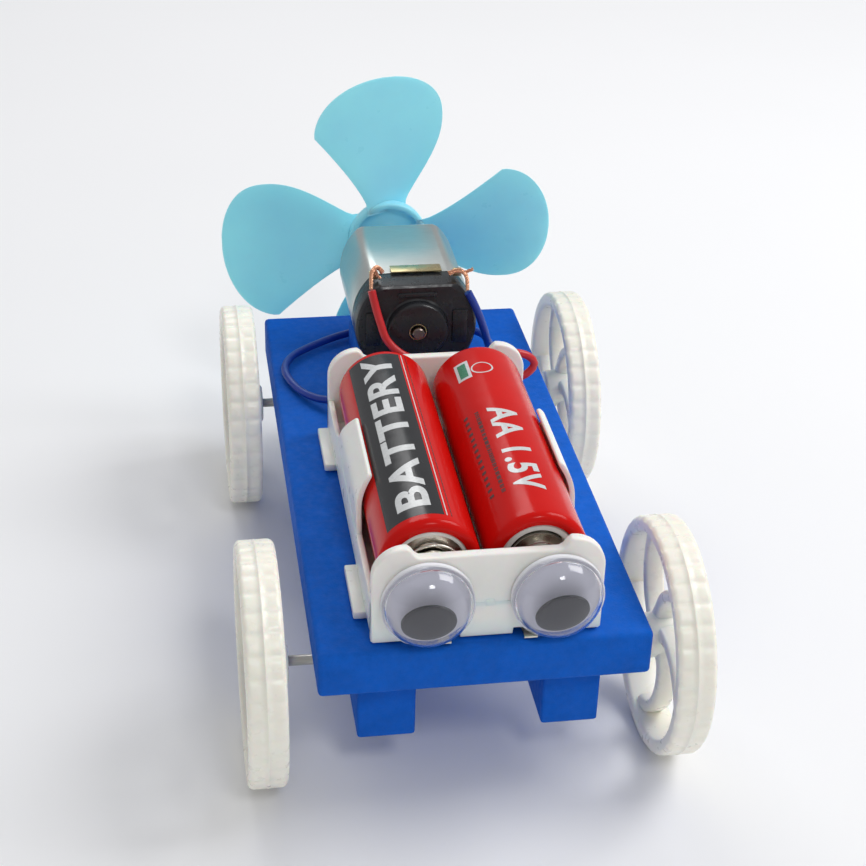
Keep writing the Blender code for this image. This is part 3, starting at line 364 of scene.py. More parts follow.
def slab(bm, outline, depth, matrix, bevel):
    """An anticlockwise outline in the local XY plane made a plate of this depth with rounded rims."""
    levels = [
        (bevel * (1 - math.sin(math.radians(a))), bevel * (1 - math.cos(math.radians(a))))
        for a in (0, 30, 60, 90)
    ]
    rings = []
    for sign in (1, -1):
        for inward, drop in levels if sign == 1 else levels[::-1]:
            height = sign * (depth / 2 - drop)
            rings.append([bm.verts.new(matrix @ Vector((x, y, height))) for x, y in inset(outline, inward)])
    for a, b in zip(rings, rings[1:]):
        for i in range(len(a)):
            j = (i + 1) % len(a)
            bm.faces.new((a[i], b[i], b[j], a[j]))
    bm.faces.new(rings[0])
    bm.faces.new(rings[-1][::-1])


def shell(bm, upper, lower):
    """Closes two matching grids of points into one thin solid."""
    rows, columns = len(upper) - 1, len(upper[0]) - 1
    sheets = [[[bm.verts.new(p) for p in row] for row in grid] for grid in (upper, lower)]
    for grid, order in zip(sheets, (1, -1)):
        for i in range(rows):
            for j in range(columns):
                corners = (grid[i][j], grid[i + 1][j], grid[i + 1][j + 1], grid[i][j + 1])
                bm.faces.new(corners[::order])
    top, bottom = sheets
    border = [(i, 0) for i in range(rows)] + [(rows, j) for j in range(columns)]
    border += [(i, columns) for i in range(rows, 0, -1)] + [(0, j) for j in range(columns, 0, -1)]
    for (a, b), (c, d) in zip(border, border[1:] + border[:1]):
        bm.faces.new((top[a][b], bottom[a][b], bottom[c][d], top[c][d]))


def arc(radius, start, end, count, centre=(0.0, 0.0)):
    turns = [start + (end - start) * i / (count - 1) for i in range(count)]
    return [(centre[0] + radius * math.cos(t), centre[1] + radius * math.sin(t)) for t in turns]


def smooth_route(points, spacing):
    """Evenly spaced points along a Catmull-Rom curve through a route's own points."""
    route = [Vector(p) for p in points]
    padded = [2 * route[0] - route[1], *route, 2 * route[-1] - route[-2]]
    fine = []
    for a, b, c, d in zip(padded, padded[1:], padded[2:], padded[3:]):
        for i in range(24):
            t = i / 24
            near = 2 * b + (c - a) * t
            far = (2 * a - 5 * b + 4 * c - d) * t * t + (3 * b - a - 3 * c + d) * t * t * t
            fine.append((near + far) / 2)
    fine.append(route[-1])
    lengths = [0.0]
    for before, after in zip(fine, fine[1:]):
        lengths.append(lengths[-1] + (after - before).length)
    count = max(4, round(lengths[-1] / spacing) + 1)
    wanted = [lengths[-1] * i / (count - 1) for i in range(count)]
    found, k = [], 0
    for length in wanted:
        while k < len(fine) - 2 and lengths[k + 1] < length:
            k += 1
        step = lengths[k + 1] - lengths[k]
        found.append(fine[k].lerp(fine[k + 1], (length - lengths[k]) / step))
    return found, lengths[-1]


def wire_curve(name, points, radius, resolution=5):
    curve = bpy.data.curves.new(name, "CURVE")
    curve.dimensions = "3D"
    curve.bevel_depth = radius
    curve.bevel_resolution = resolution
    curve.use_fill_caps = True
    spline = curve.splines.new("POLY")
    spline.points.add(len(points) - 1)
    for point, place in zip(spline.points, points):
        point.co = (*place, 1.0)
    spline.use_smooth = True
    return curve


# ---------------------------------------------------------------- camera


def make_camera():
    azimuth, elevation, roll = math.radians(-9.606), math.radians(30.183), math.radians(1.736)
    back = Vector(
        (
            math.sin(azimuth) * math.cos(elevation), -math.cos(azimuth) * math.cos(elevation),
            math.sin(elevation)
        )
    )
    level = Vector((math.cos(azimuth), math.sin(azimuth), 0))
    upright = back.cross(level)
    right = level * math.cos(roll) + upright * math.sin(roll)
    up = upright * math.cos(roll) - level * math.sin(roll)
    data = bpy.data.cameras.new("camera")
    data.lens = 72.99
    data.sensor_width = 36
    camera = bpy.data.objects.new("camera", data)
    SCENE.collection.objects.link(camera)
    place = Matrix((right, up, back)).transposed().to_4x4()
    place.translation = Vector((-0.03984, -0.23759, 0.16975))
    camera.matrix_world = place
    SCENE.camera = camera


make_camera()

# ---------------------------------------------------------------- leads

WIRE_RADIUS = 0.65 * MM
TAG_X, TAG_Z = 9.0, 31.4
BLUE_LEAD_ROUTE = [
    (-TAG_X, 61.2, TAG_Z),
    (-10.2, 63.0, 30.8),
    (-13.4, 65.0, 29.3),
    (-16.6, 67.5, 28.4),
    (-19.4, 71.8, 28.0),
    (-21.0, 78.0, 28.0),
    (-19.7, 83.0, 28.0),
    (-16.0, 86.7, 28.0),
    (-10.5, 90.2, 28.1),
    (-4.5, 92.1, 28.3),
    (2.5, 92.3, 28.6),
    (9.0, 90.2, 29.1),
    (13.6, 85.8, 29.8),
    (14.5, 80.8, 30.5),
    (13.9, 76.0, 31.9),
    (12.9, 72.2, 34.0),
    (12.0, 69.8, 36.5),
    (11.2, 68.6, 39.0),
    (10.3, 68.2, 41.6),
    (9.3, 68.2, 44.0),
    (8.2, 68.3, 46.2),
]
RED_LEAD_ROUTE = [
    (TAG_X, 61.2, TAG_Z),
    (11.8, 62.2, 31.7),
    (15.0, 62.6, 32.6),
    (17.7, 62.8, 33.8),
    (18.7, 63.0, 35.5),
    (17.0, 63.0, 37.1),
    (13.6, 63.0, 37.6),
    (8.5, 63.2, 37.1),
    (3.0, 63.6, 36.6),
    (-2.0, 64.2, 37.0),
    (-5.2, 65.2, 39.4),
    (-6.4, 66.4, 42.4),
    (-7.1, 67.6, 45.0),
    (-7.6, 68.3, 47.2),
]
BLUE_STRAND_ROUTE = [
    (8.1, 68.4, 46.5), (8.1, 69.6, 48.3), (7.5, 70.5, 48.9), (6.4, 70.9, 48.9), (5.3, 70.9, 48.5)
]
RED_STRAND_ROUTE = [
    (-7.65, 68.4, 47.4), (-7.5, 69.6, 49.3), (-6.9, 70.4, 50.2), (-6.2, 70.8, 50.0), (-5.5, 70.9, 49.2)
]
BLUE_STRAY_ROUTE = [(6.6, 70.8, 48.9), (7.6, 70.7, 48.7), (8.5, 70.6, 48.9), (9.3, 70.5, 49.3)]
RED_STRAY_ROUTE = [(-6.9, 70.6, 49.9), (-6.6, 70.8, 49.3), (-6.4, 70.9, 48.7), (-5.9, 70.9, 48.1)]


def strands(name, bundles, strand=0.12):
    """Twisted bundles of bare strands, each (route, count, spread), opening out at their free ends."""
    curve = bpy.data.curves.new(name, "CURVE")
    curve.dimensions = "3D"
    curve.bevel_depth = strand * MM
    curve.bevel_resolution = 3
    curve.use_fill_caps = True
    for route, count, spread in bundles:
        points, _ = smooth_route([at(*p) for p in route], 0.12 * MM)
        last = len(points) - 1
        for k in range(count):
            spline = curve.splines.new("POLY")
            spline.points.add(last)
            for i, (target, place) in enumerate(zip(spline.points, points)):
                t = i / last
                along = (points[min(i + 1, last)] - points[max(i - 1, 0)]).normalized()
                turn = 2 * math.pi * (k / count + 1.4 * t)
                offset = spread * MM * (0.6 + 0.4 * t * (1 + 0.5 * math.sin(5.1 * k)))
                aside = Matrix.Rotation(turn, 3, along) @ along.orthogonal().normalized() * offset
                target.co = (*(place + aside), 1.0)
            spline.use_smooth = True
    return curve


def make_leads():
    for name, route, strand_route, stray_route, material, slot in (
        ("blue_wire", BLUE_LEAD_ROUTE, BLUE_STRAND_ROUTE, BLUE_STRAY_ROUTE, BLUE_PVC, "blue_insulation"),
        ("red_wire", RED_LEAD_ROUTE, RED_STRAND_ROUTE, RED_STRAY_ROUTE, RED_PVC, "red_insulation"),
    ):
        bare = strands(f"{name}_bare_strands", ((strand_route, 7, 0.30), (stray_route, 3, 0.22)))
        bare = piece(f"{name}_bare_strands", bare, COPPER, "chassis", f"{name}_strands")
        points, length = smooth_route([at(*p) for p in route], 0.8 * MM)
        lead = piece(
            f"{name}_lead", wire_curve(f"{name}_lead", points, WIRE_RADIUS), material, "chassis", name
        )


make_leads()

# ---------------------------------------------------------------- board and foam blocks


def make_foam():
    for node in (
        "chassis_board", "axle_block_front_left", "axle_block_front_right", "axle_block_rear_left",
        "axle_block_rear_right", "motor_block"
    ):
        low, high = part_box(node)
        mesh = box_mesh(f"{node}_foam", [(low, high)], 0.7 * MM if node == "chassis_board" else 0.5 * MM, 3)
        piece(f"{node}_foam", mesh, BLUE_FOAM, "chassis", node)


make_foam()

# ---------------------------------------------------------------- wheels

WHEEL_R = 17.4
TREADS = 36


def quarter(count):
    return [math.pi / 2 * i / (count - 1) for i in range(count)]


def spoke_path(turn, t):
    inner, outer = 2.6, 15.5
    radius = inner + (outer - inner) * t
    angle = turn + math.radians(60) * (1 - t)
    return Vector((radius * math.cos(angle), radius * math.sin(angle), 0))


def spoke(bm, turn, matrix):
    """A curved spoke with a rounded section that widens into the hub and the rim."""
    rings = []
    steps, around = 18, 12
    for i in range(steps + 1):
        t = i / steps
        centre = spoke_path(turn, t)
        along = (spoke_path(turn, t + 0.01) - spoke_path(turn, t - 0.01)).normalized()
        side = Vector((-along.y, along.x, 0))
        flare = 0.55 * math.exp(-((t / 0.10) ** 2)) + 0.75 * math.exp(-(((1 - t) / 0.09) ** 2))
        half_width, half_depth = 0.90 + flare, 1.5 + 0.4 * flare
        ring = []
        for k in range(around):
            a = 2 * math.pi * k / around
            c, s = math.cos(a), math.sin(a)
            x = math.copysign(abs(c) ** 0.55, c) * half_width
            z = math.copysign(abs(s) ** 0.55, s) * half_depth
            ring.append(bm.verts.new(matrix @ ((centre + side * x + Vector((0, 0, z))) * MM)))
        rings.append(ring)
    for a, b in zip(rings, rings[1:]):
        for k in range(around):
            bm.faces.new((a[k], a[(k + 1) % around], b[(k + 1) % around], b[k]))
    bm.faces.new(rings[0][::-1])
    bm.faces.new(rings[-1])


def wheel_mesh(name, place):
    """The moulded wheel: a treaded rim with a stepped inner side, curved spokes and a hub."""
    bm = bmesh.new()
    half, corner = 2.75, 0.85
    rim = [
        (WHEEL_R - corner + corner * math.cos(t), half - corner + corner * math.sin(t)) for t in quarter(7)
    ][::-1]
    rim += [(WHEEL_R, h) for h in (1.3, 0.9, 0.14, 0.10, -0.10, -0.14, -0.9, -1.3)]
    rim += [(r, -h) for r, h in rim[:7][::-1]]
    corner = 0.7
    inside = [
        (15.0 + corner - corner * math.cos(t), -half + corner - corner * math.sin(t)) for t in quarter(5)
    ][::-1]
    rim += inside + [(14.85, -1.2), (14.85, 1.2)] + [(r, -h) for r, h in inside[::-1]]

    def tread(radius, height, turn):
        if radius < 16.9 * MM:
            return radius
        phase = (turn * TREADS / (2 * math.pi)) % 1.0
        away = min(phase, 1.0 - phase) / 0.17
        edge = min(1.0, abs(height) / (1.3 * MM))
        groove = (0.07 + 0.17 * edge) * MM * math.exp(-away * away)
        seam = 0.05 * MM if abs(height) < 0.12 * MM else 0.0
        fade = 1.0 if radius > 17.3 * MM else 0.7
        return radius - groove * fade - 0.05 * MM + seam

    turned(bm, mm(rim), TREADS * 10, place, True, radius_at=tread)
    for k in range(5):
        spoke(bm, math.radians(43 + 72 * k), place)
    hub = [
        (2.95, 2.2), (3.2, 2.0), (3.3, 1.7), (3.3, -3.3), (3.2, -3.6), (2.95, -3.8), (1.35, -3.8),
        (1.05, -3.5),
        (1.05, 1.9), (1.35, 2.2),
    ]
    turned(bm, mm(hub), 48, place, True)
    return to_mesh(bm, name, angle=70)


def make_wheels():
    forward_up = Matrix(((0, 0, 1, 0), (-1, 0, 0, 0), (0, 1, 0, 0), (0, 0, 0, 1)))
    for end in ("front", "rear"):
        body = f"{end}_wheelset"
        axle_low, axle_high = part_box(f"{end}_axle")
        middle = (axle_low + axle_high) / 2
        for side in ("left", "right"):
            low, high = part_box(f"wheel_{end}_{side}")
            turn = Matrix.Rotation(math.pi, 4, "Z") if side == "left" else Matrix.Identity(4)
            rim_x = low.x + 2.75 * MM if side == "left" else high.x - 2.75 * MM
            place = Matrix.Translation((rim_x, middle.y, middle.z)) @ turn @ forward_up
            name = f"wheel_{end}_{side}_moulding"
            piece(name, wheel_mesh(name, place), IVORY, body, f"wheel_{end}_{side}")
        radius, half = (axle_high.z - axle_low.z) / 2, (axle_high.x - axle_low.x) / 2
        rod = [
            (0, half), (radius - 0.1 * MM, half), (radius, half - 0.15 * MM), (radius, -half + 0.15 * MM),
            (radius - 0.1 * MM, -half), (0, -half)
        ]
        place = Matrix.Translation(middle) @ Matrix.Rotation(math.radians(90), 4, "Y")
        piece(
            f"{end}_axle_rod", turned_mesh(f"{end}_axle_rod", rod, 32, place), AXLE_STEEL, body,
            f"{end}_axle"
        )


make_wheels()

# ---------------------------------------------------------------- battery holder

WALL = 1.6
HOLDER_FRONT, HOLDER_REAR = 1.6, 59.1
HALF = 15.75
BASE = 27.2


def end_wall():
    """An end wall's outline in X and Z, with round shoulders, a lower middle and notches under it."""
    top, middle, corner = 14.8, 13.2, 4.6
    right = [(HALF, 0.3), *arc(corner, 0, math.pi / 2, 12, (HALF - corner, top - corner))]
    right += [(10.9, top - 0.1), (10.45, top - 0.5), (10.0, middle + 0.4), (9.4, middle)]
    under = [(3.6, 0.0), (3.7, 0.95), (10.5, 0.95), (10.6, 0.0), (HALF - 0.3, 0.0)]
    left_top = [(-x, z) for x, z in reversed(right)]
    left_under = [(-x, z) for x, z in reversed(under)]
    return right + left_top + left_under + under


CLIP_START, CLIP_TOP_START, CLIP_TOP_END, CLIP_END = 18.8, 21.2, 36.8, 48.3
WALL_TOP, CLIP_REACH = 33.4, 5.5
CELL_X, CELL_AXIS = 7.4, 36.7


def clip_reach(y):
    """How far a clip's edge lies above the cells' axes, measured up the wall and round the cell."""
    low = WALL_TOP - CELL_AXIS
    if y < CLIP_TOP_START:
        t = (y - CLIP_START) / (CLIP_TOP_START - CLIP_START)
        blend = t * t * (3 - 2 * t)
    else:
        blend = min(1.0, (CLIP_END - y) / (CLIP_END - CLIP_TOP_END)) ** 1.85
    return low + (CLIP_REACH - low) * blend


def clip(bm, side):
    """A thin spring clip that grows out of a side wall and bends over its cell."""
    bottom, radius, columns = WALL_TOP - 0.6 - CELL_AXIS, 7.88, 26
    stations = [CLIP_START + (CLIP_TOP_START - CLIP_START) * i / 24 for i in range(25)]
    stations += [CLIP_TOP_START + (CLIP_TOP_END - CLIP_TOP_START) * i / 12 for i in range(1, 13)]
    stations += [CLIP_TOP_END + (CLIP_END - CLIP_TOP_END) * i / 30 for i in range(1, 31)]
    sheets = ([], [])
    for y in stations:
        top = clip_reach(y)
        rows = ([], [])
        for j in range(columns + 1):
            height = bottom + (top - bottom) * math.sin(math.pi / 2 * j / columns)
            rim = min(1.0, (top - height) / 0.38)
            half = 0.38 * math.sqrt(max(0.03, 1 - (1 - rim) ** 2))
            turn = max(0.0, height) / radius
            for row, face in zip(rows, (1, -1)):
                r = radius + face * half
                x, z = CELL_X + r * math.cos(turn), CELL_AXIS + min(0.0, height) + r * math.sin(turn)
                row.append(at(side * x, y, z))
        sheets[0].append(rows[0])
        sheets[1].append(rows[1])
    shell(bm, *sheets)


def make_holder():
    bm = bmesh.new()
    upright = Matrix.Rotation(math.radians(90), 4, "X")
    for y in (HOLDER_FRONT + WALL / 2, HOLDER_REAR - WALL / 2):
        outline = mm(end_wall())
        slab(bm, outline, WALL * MM, Matrix.Translation(at(0, y, BASE)) @ upright, 0.3 * MM)
    lying = Matrix(((0, 0, 1, 0), (1, 0, 0, 0), (0, 1, 0, 0), (0, 0, 0, 1)))
    for side in (-1, 1):
        outline = [
            (HOLDER_FRONT + 0.4, 1.05), (HOLDER_REAR - 0.4, 1.05), (HOLDER_REAR - 0.4, 6.2),
            (HOLDER_FRONT + 0.4, 6.2)
        ]
        outline = [(FRONT + y * MM, z * MM) for y, z in outline]
        slab(
            bm, outline, 0.9 * MM, Matrix.Translation((side * (HALF - 0.45) * MM, 0, BASE * MM)) @ lying,
            0.2 * MM
        )
        clip(bm, side)
    rounded_box(
        bm, at(-HALF + 0.3, HOLDER_FRONT + 0.3, BASE + 1.0), at(HALF - 0.3, HOLDER_REAR - 0.3, BASE + 2.1),
        0.1 * MM, 1
    )
    for start in (7.3, 46.2):
        rounded_box(
            bm, at(-HALF - 1.7, start, BASE), at(-HALF + 0.5, start + 11.6, BASE + 1.2), 0.25 * MM, 2
        )
    # A low step runs across the front wall, below its middle, with a moulding nick over it.
    rounded_box(
        bm, at(-2.4, HOLDER_FRONT - 0.05, BASE + 5.1), at(3.4, HOLDER_FRONT + 0.6, BASE + 5.7), 0.1 * MM, 1
    )
    rounded_box(
        bm, at(-0.4, HOLDER_FRONT - 0.12, BASE + 5.0), at(0.9, HOLDER_FRONT + 0.5, BASE + 6.1), 0.18 * MM, 2
    )
    # A rib down the middle keeps the two cells apart.
    rounded_box(
        bm, at(-0.35, HOLDER_FRONT + 1.0, BASE + 1.5), at(0.35, HOLDER_REAR - 1.0, BASE + 2.3), 0.1 * MM, 1
    )
    mesh = to_mesh(bm, "holder_moulding", angle=40)
    piece("holder_moulding", mesh, HOLDER_WHITE, "chassis", "battery_holder")


make_holder()


SPRING_WIRE = 0.22 * MM


def spring_curve(name, node, wide_at_front):
    """A flat conical spring of round wire inside the CAD spring's box."""
    low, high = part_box(node)
    middle = (low + high) / 2
    x = math.copysign(CELL_X * MM, middle.x)
    z = (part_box("battery_left_jacket")[0].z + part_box("battery_left_jacket")[1].z) / 2
    wide_y, narrow_y = low.y + SPRING_WIRE, high.y - SPRING_WIRE
    if not wide_at_front:
        wide_y, narrow_y = narrow_y, wide_y
    points = []
    for i in range(97):
        t = i / 96
        radius = (4.2 - 2.3 * t) * MM
        angle = 4 * math.pi * t
        points.append(
            (x + radius * math.cos(angle), wide_y + (narrow_y - wide_y) * t, z + radius * math.sin(angle))
        )
    return wire_curve(name, points, SPRING_WIRE, 4)


def make_contacts():
    for node in ("negative_spring_front", "negative_spring_rear"):
        curve = spring_curve(f"{node}_coil", node, node == "negative_spring_front")
        piece(f"{node}_coil", curve, NICKEL, "chassis", node)


make_contacts()

# ---------------------------------------------------------------- cells

CELL_R = 7.05
CELL_LENGTH = 49.5
CELL_Z = (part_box("battery_left_jacket")[0].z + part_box("battery_left_jacket")[1].z) / 2 / MM


def sleeve_profile():
    rolled = 1.15
    outer = [(5.35, CELL_LENGTH - 0.5), (5.45, CELL_LENGTH - 0.08)]
    for i in range(9):
        turn = math.radians(90 - 11.25 * i)
        outer.append(
            (CELL_R - rolled + rolled * math.cos(turn), CELL_LENGTH - rolled + rolled * math.sin(turn))
        )
    lower = [(r, CELL_LENGTH - h) for r, h in reversed(outer)]
    inner = [(5.35, 1.0), (6.6, 1.3), (6.6, CELL_LENGTH - 1.3), (5.35, CELL_LENGTH - 1.0)]
    middle = [(CELL_R, CELL_LENGTH - 2.4), (CELL_R, 2.4)]
    return [(r * MM, h * MM) for r, h in outer + middle + lower + inner]


def cell_place(side):
    """The matrix from a cell's own frame, negative end at 0 and its axis along Z, to the row frame."""
    low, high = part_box(f"battery_{side}_jacket")
    turn = Matrix.Rotation(math.radians(-90 if side == "left" else 90), 4, "X")
    start = low.y if side == "left" else high.y
    return Matrix.Translation(((low.x + high.x) / 2, start, (low.z + high.z) / 2)) @ turn


def cylinder_point(side, angle, y, lift=0.0):
    """A point on a cell's sleeve: angle in degrees from the top toward +X, y in the board's millimetres."""
    x = -7.4 if side == "left" else 7.4
    turn = math.radians(angle)
    radius = CELL_R + lift
    return at(x + radius * math.sin(turn), y, CELL_Z + radius * math.cos(turn))


def wrap(name, source, side, y_range, angle_range, material, lift=0.03):
    """Wraps a flat mesh round a cell: its X runs along the cell and its Y round it."""
    bm = bmesh.new()
    bm.from_mesh(source)
    xs = [v.co.x for v in bm.verts]
    ys = [v.co.y for v in bm.verts]
    x0, x1, y0, y1 = min(xs), max(xs), min(ys), max(ys)
    cuts = max(2, round(abs(angle_range[1] - angle_range[0]) / 2))
    for i in range(1, cuts):
        level = y0 + (y1 - y0) * i / cuts
        geometry = list(bm.verts) + list(bm.edges) + list(bm.faces)
        bmesh.ops.bisect_plane(bm, geom=geometry, plane_co=(0, level, 0), plane_no=(0, 1, 0), dist=1e-7)
    for vertex in bm.verts:
        u = (vertex.co.x - x0) / (x1 - x0)
        v = (vertex.co.y - y0) / (y1 - y0)
        y = y_range[0] + (y_range[1] - y_range[0]) * u
        angle = angle_range[0] + (angle_range[1] - angle_range[0]) * v
        vertex.co = cylinder_point(side, angle, y, lift)
    mesh = to_mesh(bm, name)
    return piece(name, mesh, material, f"cell_{side}")


def text_mesh(words, weight=0.03):
    curve = bpy.data.curves.new("words", "FONT")
    curve.body = words
    curve.offset = weight
    curve.space_character = 1.12
    obj = bpy.data.objects.new("words", curve)
    SCENE.collection.objects.link(obj)
    bpy.context.view_layer.update()
    mesh = bpy.data.meshes.new_from_object(obj.evaluated_get(bpy.context.evaluated_depsgraph_get()))
    bpy.data.objects.remove(obj)
    return mesh


def plate_mesh(boxes):
    """Flat rectangles (x0, y0, x1, y1) as one mesh."""
    bm = bmesh.new()
    for x0, y0, x1, y1 in boxes:
        bm.faces.new([bm.verts.new((x, y, 0)) for x, y in ((x0, y0), (x1, y0), (x1, y1), (x0, y1))])
    mesh = bpy.data.meshes.new("plates")
    bm.to_mesh(mesh)
    bm.free()
    return mesh


def make_sleeves():
    fine = [math.radians(a) for a in range(0, 360, 2)]
    for side in ("left", "right"):
        place = cell_place(side)
        name = f"battery_{side}_sleeve"
        mesh = turned_mesh(name, sleeve_profile(), angles=fine, segments=0, matrix=place, ring=True)
        piece(name, mesh, RED_SLEEVE, f"cell_{side}", f"battery_{side}_jacket")
    band = plate_mesh([(0, 0, 1, 1)])
    wrap("battery_left_band", band, "left", (7.2, 53.0), (-52, 17), BLACK_BAND, lift=0.015)
    wrap("battery_left_stripe_inner", band, "left", (7.2, 53.0), (19.6, 20.8), WHITE_INK, lift=0.02)
    wrap("battery_left_stripe_outer", band, "left", (7.2, 53.0), (25.4, 26.4), DARK_INK, lift=0.02)
    wrap("battery_left_word", text_mesh("BATTERY", 0.03), "left", (9.3, 52.4), (4.5, -34), WHITE_INK)
    wrap("battery_right_word", text_mesh("AA 1.5V", 0.03), "right", (35.0, 11.8), (-18, 17), WHITE_INK)
    dashes = [(i + 0.1 * math.sin(7 * i), 0, i + 0.62 + 0.2 * math.sin(3 * i), 1) for i in range(40)]
    wrap("battery_right_print_upper", plate_mesh(dashes), "right", (35.0, 13.0), (-33, -28), DARK_INK)
    dashes = [(i, 0, i + 0.42, 1) for i in range(15)]
    wrap("battery_right_print_lower", plate_mesh(dashes), "right", (35.4, 13.4), (-49, -43), DARK_INK)
    wrap(
        "battery_right_mark", plate_mesh([(0, 0, 1, 1)]), "right", (45.0, 50.2), (-39, -20), WHITE_INK,
        lift=0.02
    )
    wrap(
        "battery_right_mark_fill", plate_mesh([(0, 0, 1, 1)]), "right", (45.6, 49.6), (-35, -24), GREEN_INK,
        lift=0.035
    )
    ring = bmesh.new()
    turns = [2 * math.pi * i / 48 for i in range(48)]
    rings = [[ring.verts.new((r * math.cos(t), r * math.sin(t), 0)) for t in turns] for r in (1.0, 0.86)]
    for i in range(48):
        ring.faces.new((rings[0][i], rings[0][i - 1], rings[1][i - 1], rings[1][i]))
    mesh = bpy.data.meshes.new("ring")
    ring.to_mesh(mesh)
    ring.free()
    wrap("battery_right_mark_ring", mesh, "right", (45.4, 48.8), (-19, 9), WHITE_INK, lift=0.02)


make_sleeves()


def make_cell_ends():
    for side in ("left", "right"):
        place = cell_place(side)
        top = CELL_LENGTH
        can = [
            (0, top - 1.25), (3.2, top - 1.25), (3.2, top - 2.4), (6.3, top - 2.4), (6.3, 1.5), (5.0, 1.45),
            (5.0, 0.75), (4.7, 0.45), (3.6, 0.32), (3.3, 0.12), (2.8, 0.1), (0, 0.1)
        ]
        mesh = turned_mesh(f"battery_{side}_can_body", mm(can), 72, place)
        piece(
            f"battery_{side}_can_body", mesh, CELL_STEEL, f"cell_{side}", f"battery_{side}_can",
        )
        seal = [
            (5.05, top - 0.45), (5.2, top - 0.6), (5.2, top - 2.0), (4.3, top - 2.0), (4.3, top - 0.6),
            (4.45, top - 0.45)
        ]
        mesh = turned_mesh(f"battery_{side}_seal_ring", mm(seal), 72, place, True)
        piece(
            f"battery_{side}_seal_ring", mesh, SEAL_WHITE, f"cell_{side}", f"battery_{side}_seal",
        )
        base_ring = [(5.35, 1.1), (5.35, 0.35), (5.2, 0.2), (4.85, 0.2), (4.75, 0.35), (4.75, 1.1)]
        mesh = turned_mesh(f"battery_{side}_base_ring", mm(base_ring), 72, place, True)
        piece(f"battery_{side}_base_ring", mesh, SEAL_WHITE, f"cell_{side}")
        cap = [
            (0, top + 1.0), (2.2, top + 1.0), (2.45, top + 0.93), (2.6, top + 0.75), (2.65, top + 0.2),
            (2.75, top - 0.1),
            (3.1, top - 0.3), (3.95, top - 0.34), (4.0, top - 0.45), (4.0, top - 0.8), (0, top - 0.8),
        ]
        mesh = turned_mesh(f"battery_{side}_button", mm(cap), 72, place)
        piece(
            f"battery_{side}_button", mesh, CELL_STEEL, f"cell_{side}", f"battery_{side}_cap"
        )


make_cell_ends()

# ---------------------------------------------------------------- eyes


def make_eyes():
    toward_front = Matrix.Rotation(math.radians(90), 4, "X")
    for side, x, roll in (("left", -8.3, 4.0), ("right", 9.2, -13.0)):
        back_y, eye_z = 1.3, 33.8
        disc = [(0, 0.8), (6.1, 0.8), (6.28, 0.65), (6.3, 0.15), (6.2, 0.0), (0, 0.0)]
        place = Matrix.Translation(at(x, back_y, eye_z)) @ toward_front
        name = f"eye_{side}_card"
        piece(
            name, turned_mesh(name, mm(disc), 72, place), EYE_CARD, "chassis",
            f"eye_{side}_back"
        )
        dome_y = back_y - 0.8 - 0.3
        outer, inner = [], []
        for i in range(19):
            t = math.pi / 2 * i / 18
            outer.append((6.0 * math.sin(t), 4.1 * math.cos(t)))
            inner.append((5.72 * math.sin(t), 3.82 * math.cos(t)))
        outer[-1] = (6.0, 0.55)
        profile = outer + [(6.12, 0.42), (6.28, 0.36), (6.3, 0.2), (6.3, 0.0)] + inner[::-1]
        place = Matrix.Translation(at(x, dome_y, eye_z)) @ toward_front
        name = f"eye_{side}_shell"
        piece(
            name, turned_mesh(name, mm(profile), 96, place, angle=60), CLEAR,
            "chassis", f"eye_{side}_dome"
        )
        radius, half, lean = 3.7, 0.25, math.radians(18)
        forward = radius * math.sin(lean) + half
        pivot = Matrix.Translation(at(x, dome_y, eye_z)) @ Matrix.Rotation(math.radians(roll), 4, "Y")
        place = pivot @ Matrix.Translation((0, -forward * MM, -1.65 * MM)) @ Matrix.Rotation(
            math.radians(90) + lean, 4, "X"
        )
        disc = [
            (0, half), (radius - 0.12, half), (radius, half - 0.12), (radius, -half + 0.12),
            (radius - 0.12, -half), (0, -half)
        ]
        name = f"eye_{side}_loose_pupil"
        piece(
            name, turned_mesh(name, mm(disc), 72, place), PUPIL, f"pupil_{side}",
            f"eye_{side}_pupil"
        )


make_eyes()

# ---------------------------------------------------------------- motor

MOTOR_R, MOTOR_FLAT = 10.05, 7.55
CAP_FRONT, CAN_FRONT, CAN_REAR = 69.3, 74.4, 94.4
ALONG_Y = Matrix.Rotation(math.radians(-90), 4, "X")


def motor_section(radius, flat_height, corner=0.8):
    """Half-round sides and two flats with softened corners, in X and Z."""
    edge = math.asin(flat_height / radius)
    points = []
    for facing in (0.0, math.pi):
        points += arc(radius, facing - edge + 0.06, facing + edge - 0.06, 22)
        sign = 1 if facing == 0.0 else -1
        x, z = radius * math.cos(edge), flat_height
        points.append((sign * (x - 0.45 * corner), sign * (z - 0.02)))
        points.append((sign * (x - 1.3 * corner), sign * z))
        points.append((-sign * (x - 1.3 * corner), sign * z))
        points.append((-sign * (x - 0.45 * corner), sign * (z - 0.02)))
    return points


def extrude_section(bm, stations):
    """Lofts the motor's section through (y, radius, flat) stations; the first and last are closed."""
    rings = []
    for y, radius, flat_height in stations:
        rings.append(
            [bm.verts.new(at(x, y, MOTOR_Z / MM + z)) for x, z in motor_section(radius, flat_height)]
        )
    for a, b in zip(rings, rings[1:]):
        for k in range(len(a)):
            j = (k + 1) % len(a)
            bm.faces.new((a[k], a[j], b[j], b[k]))
    bm.faces.new(rings[0])
    bm.faces.new(rings[-1][::-1])


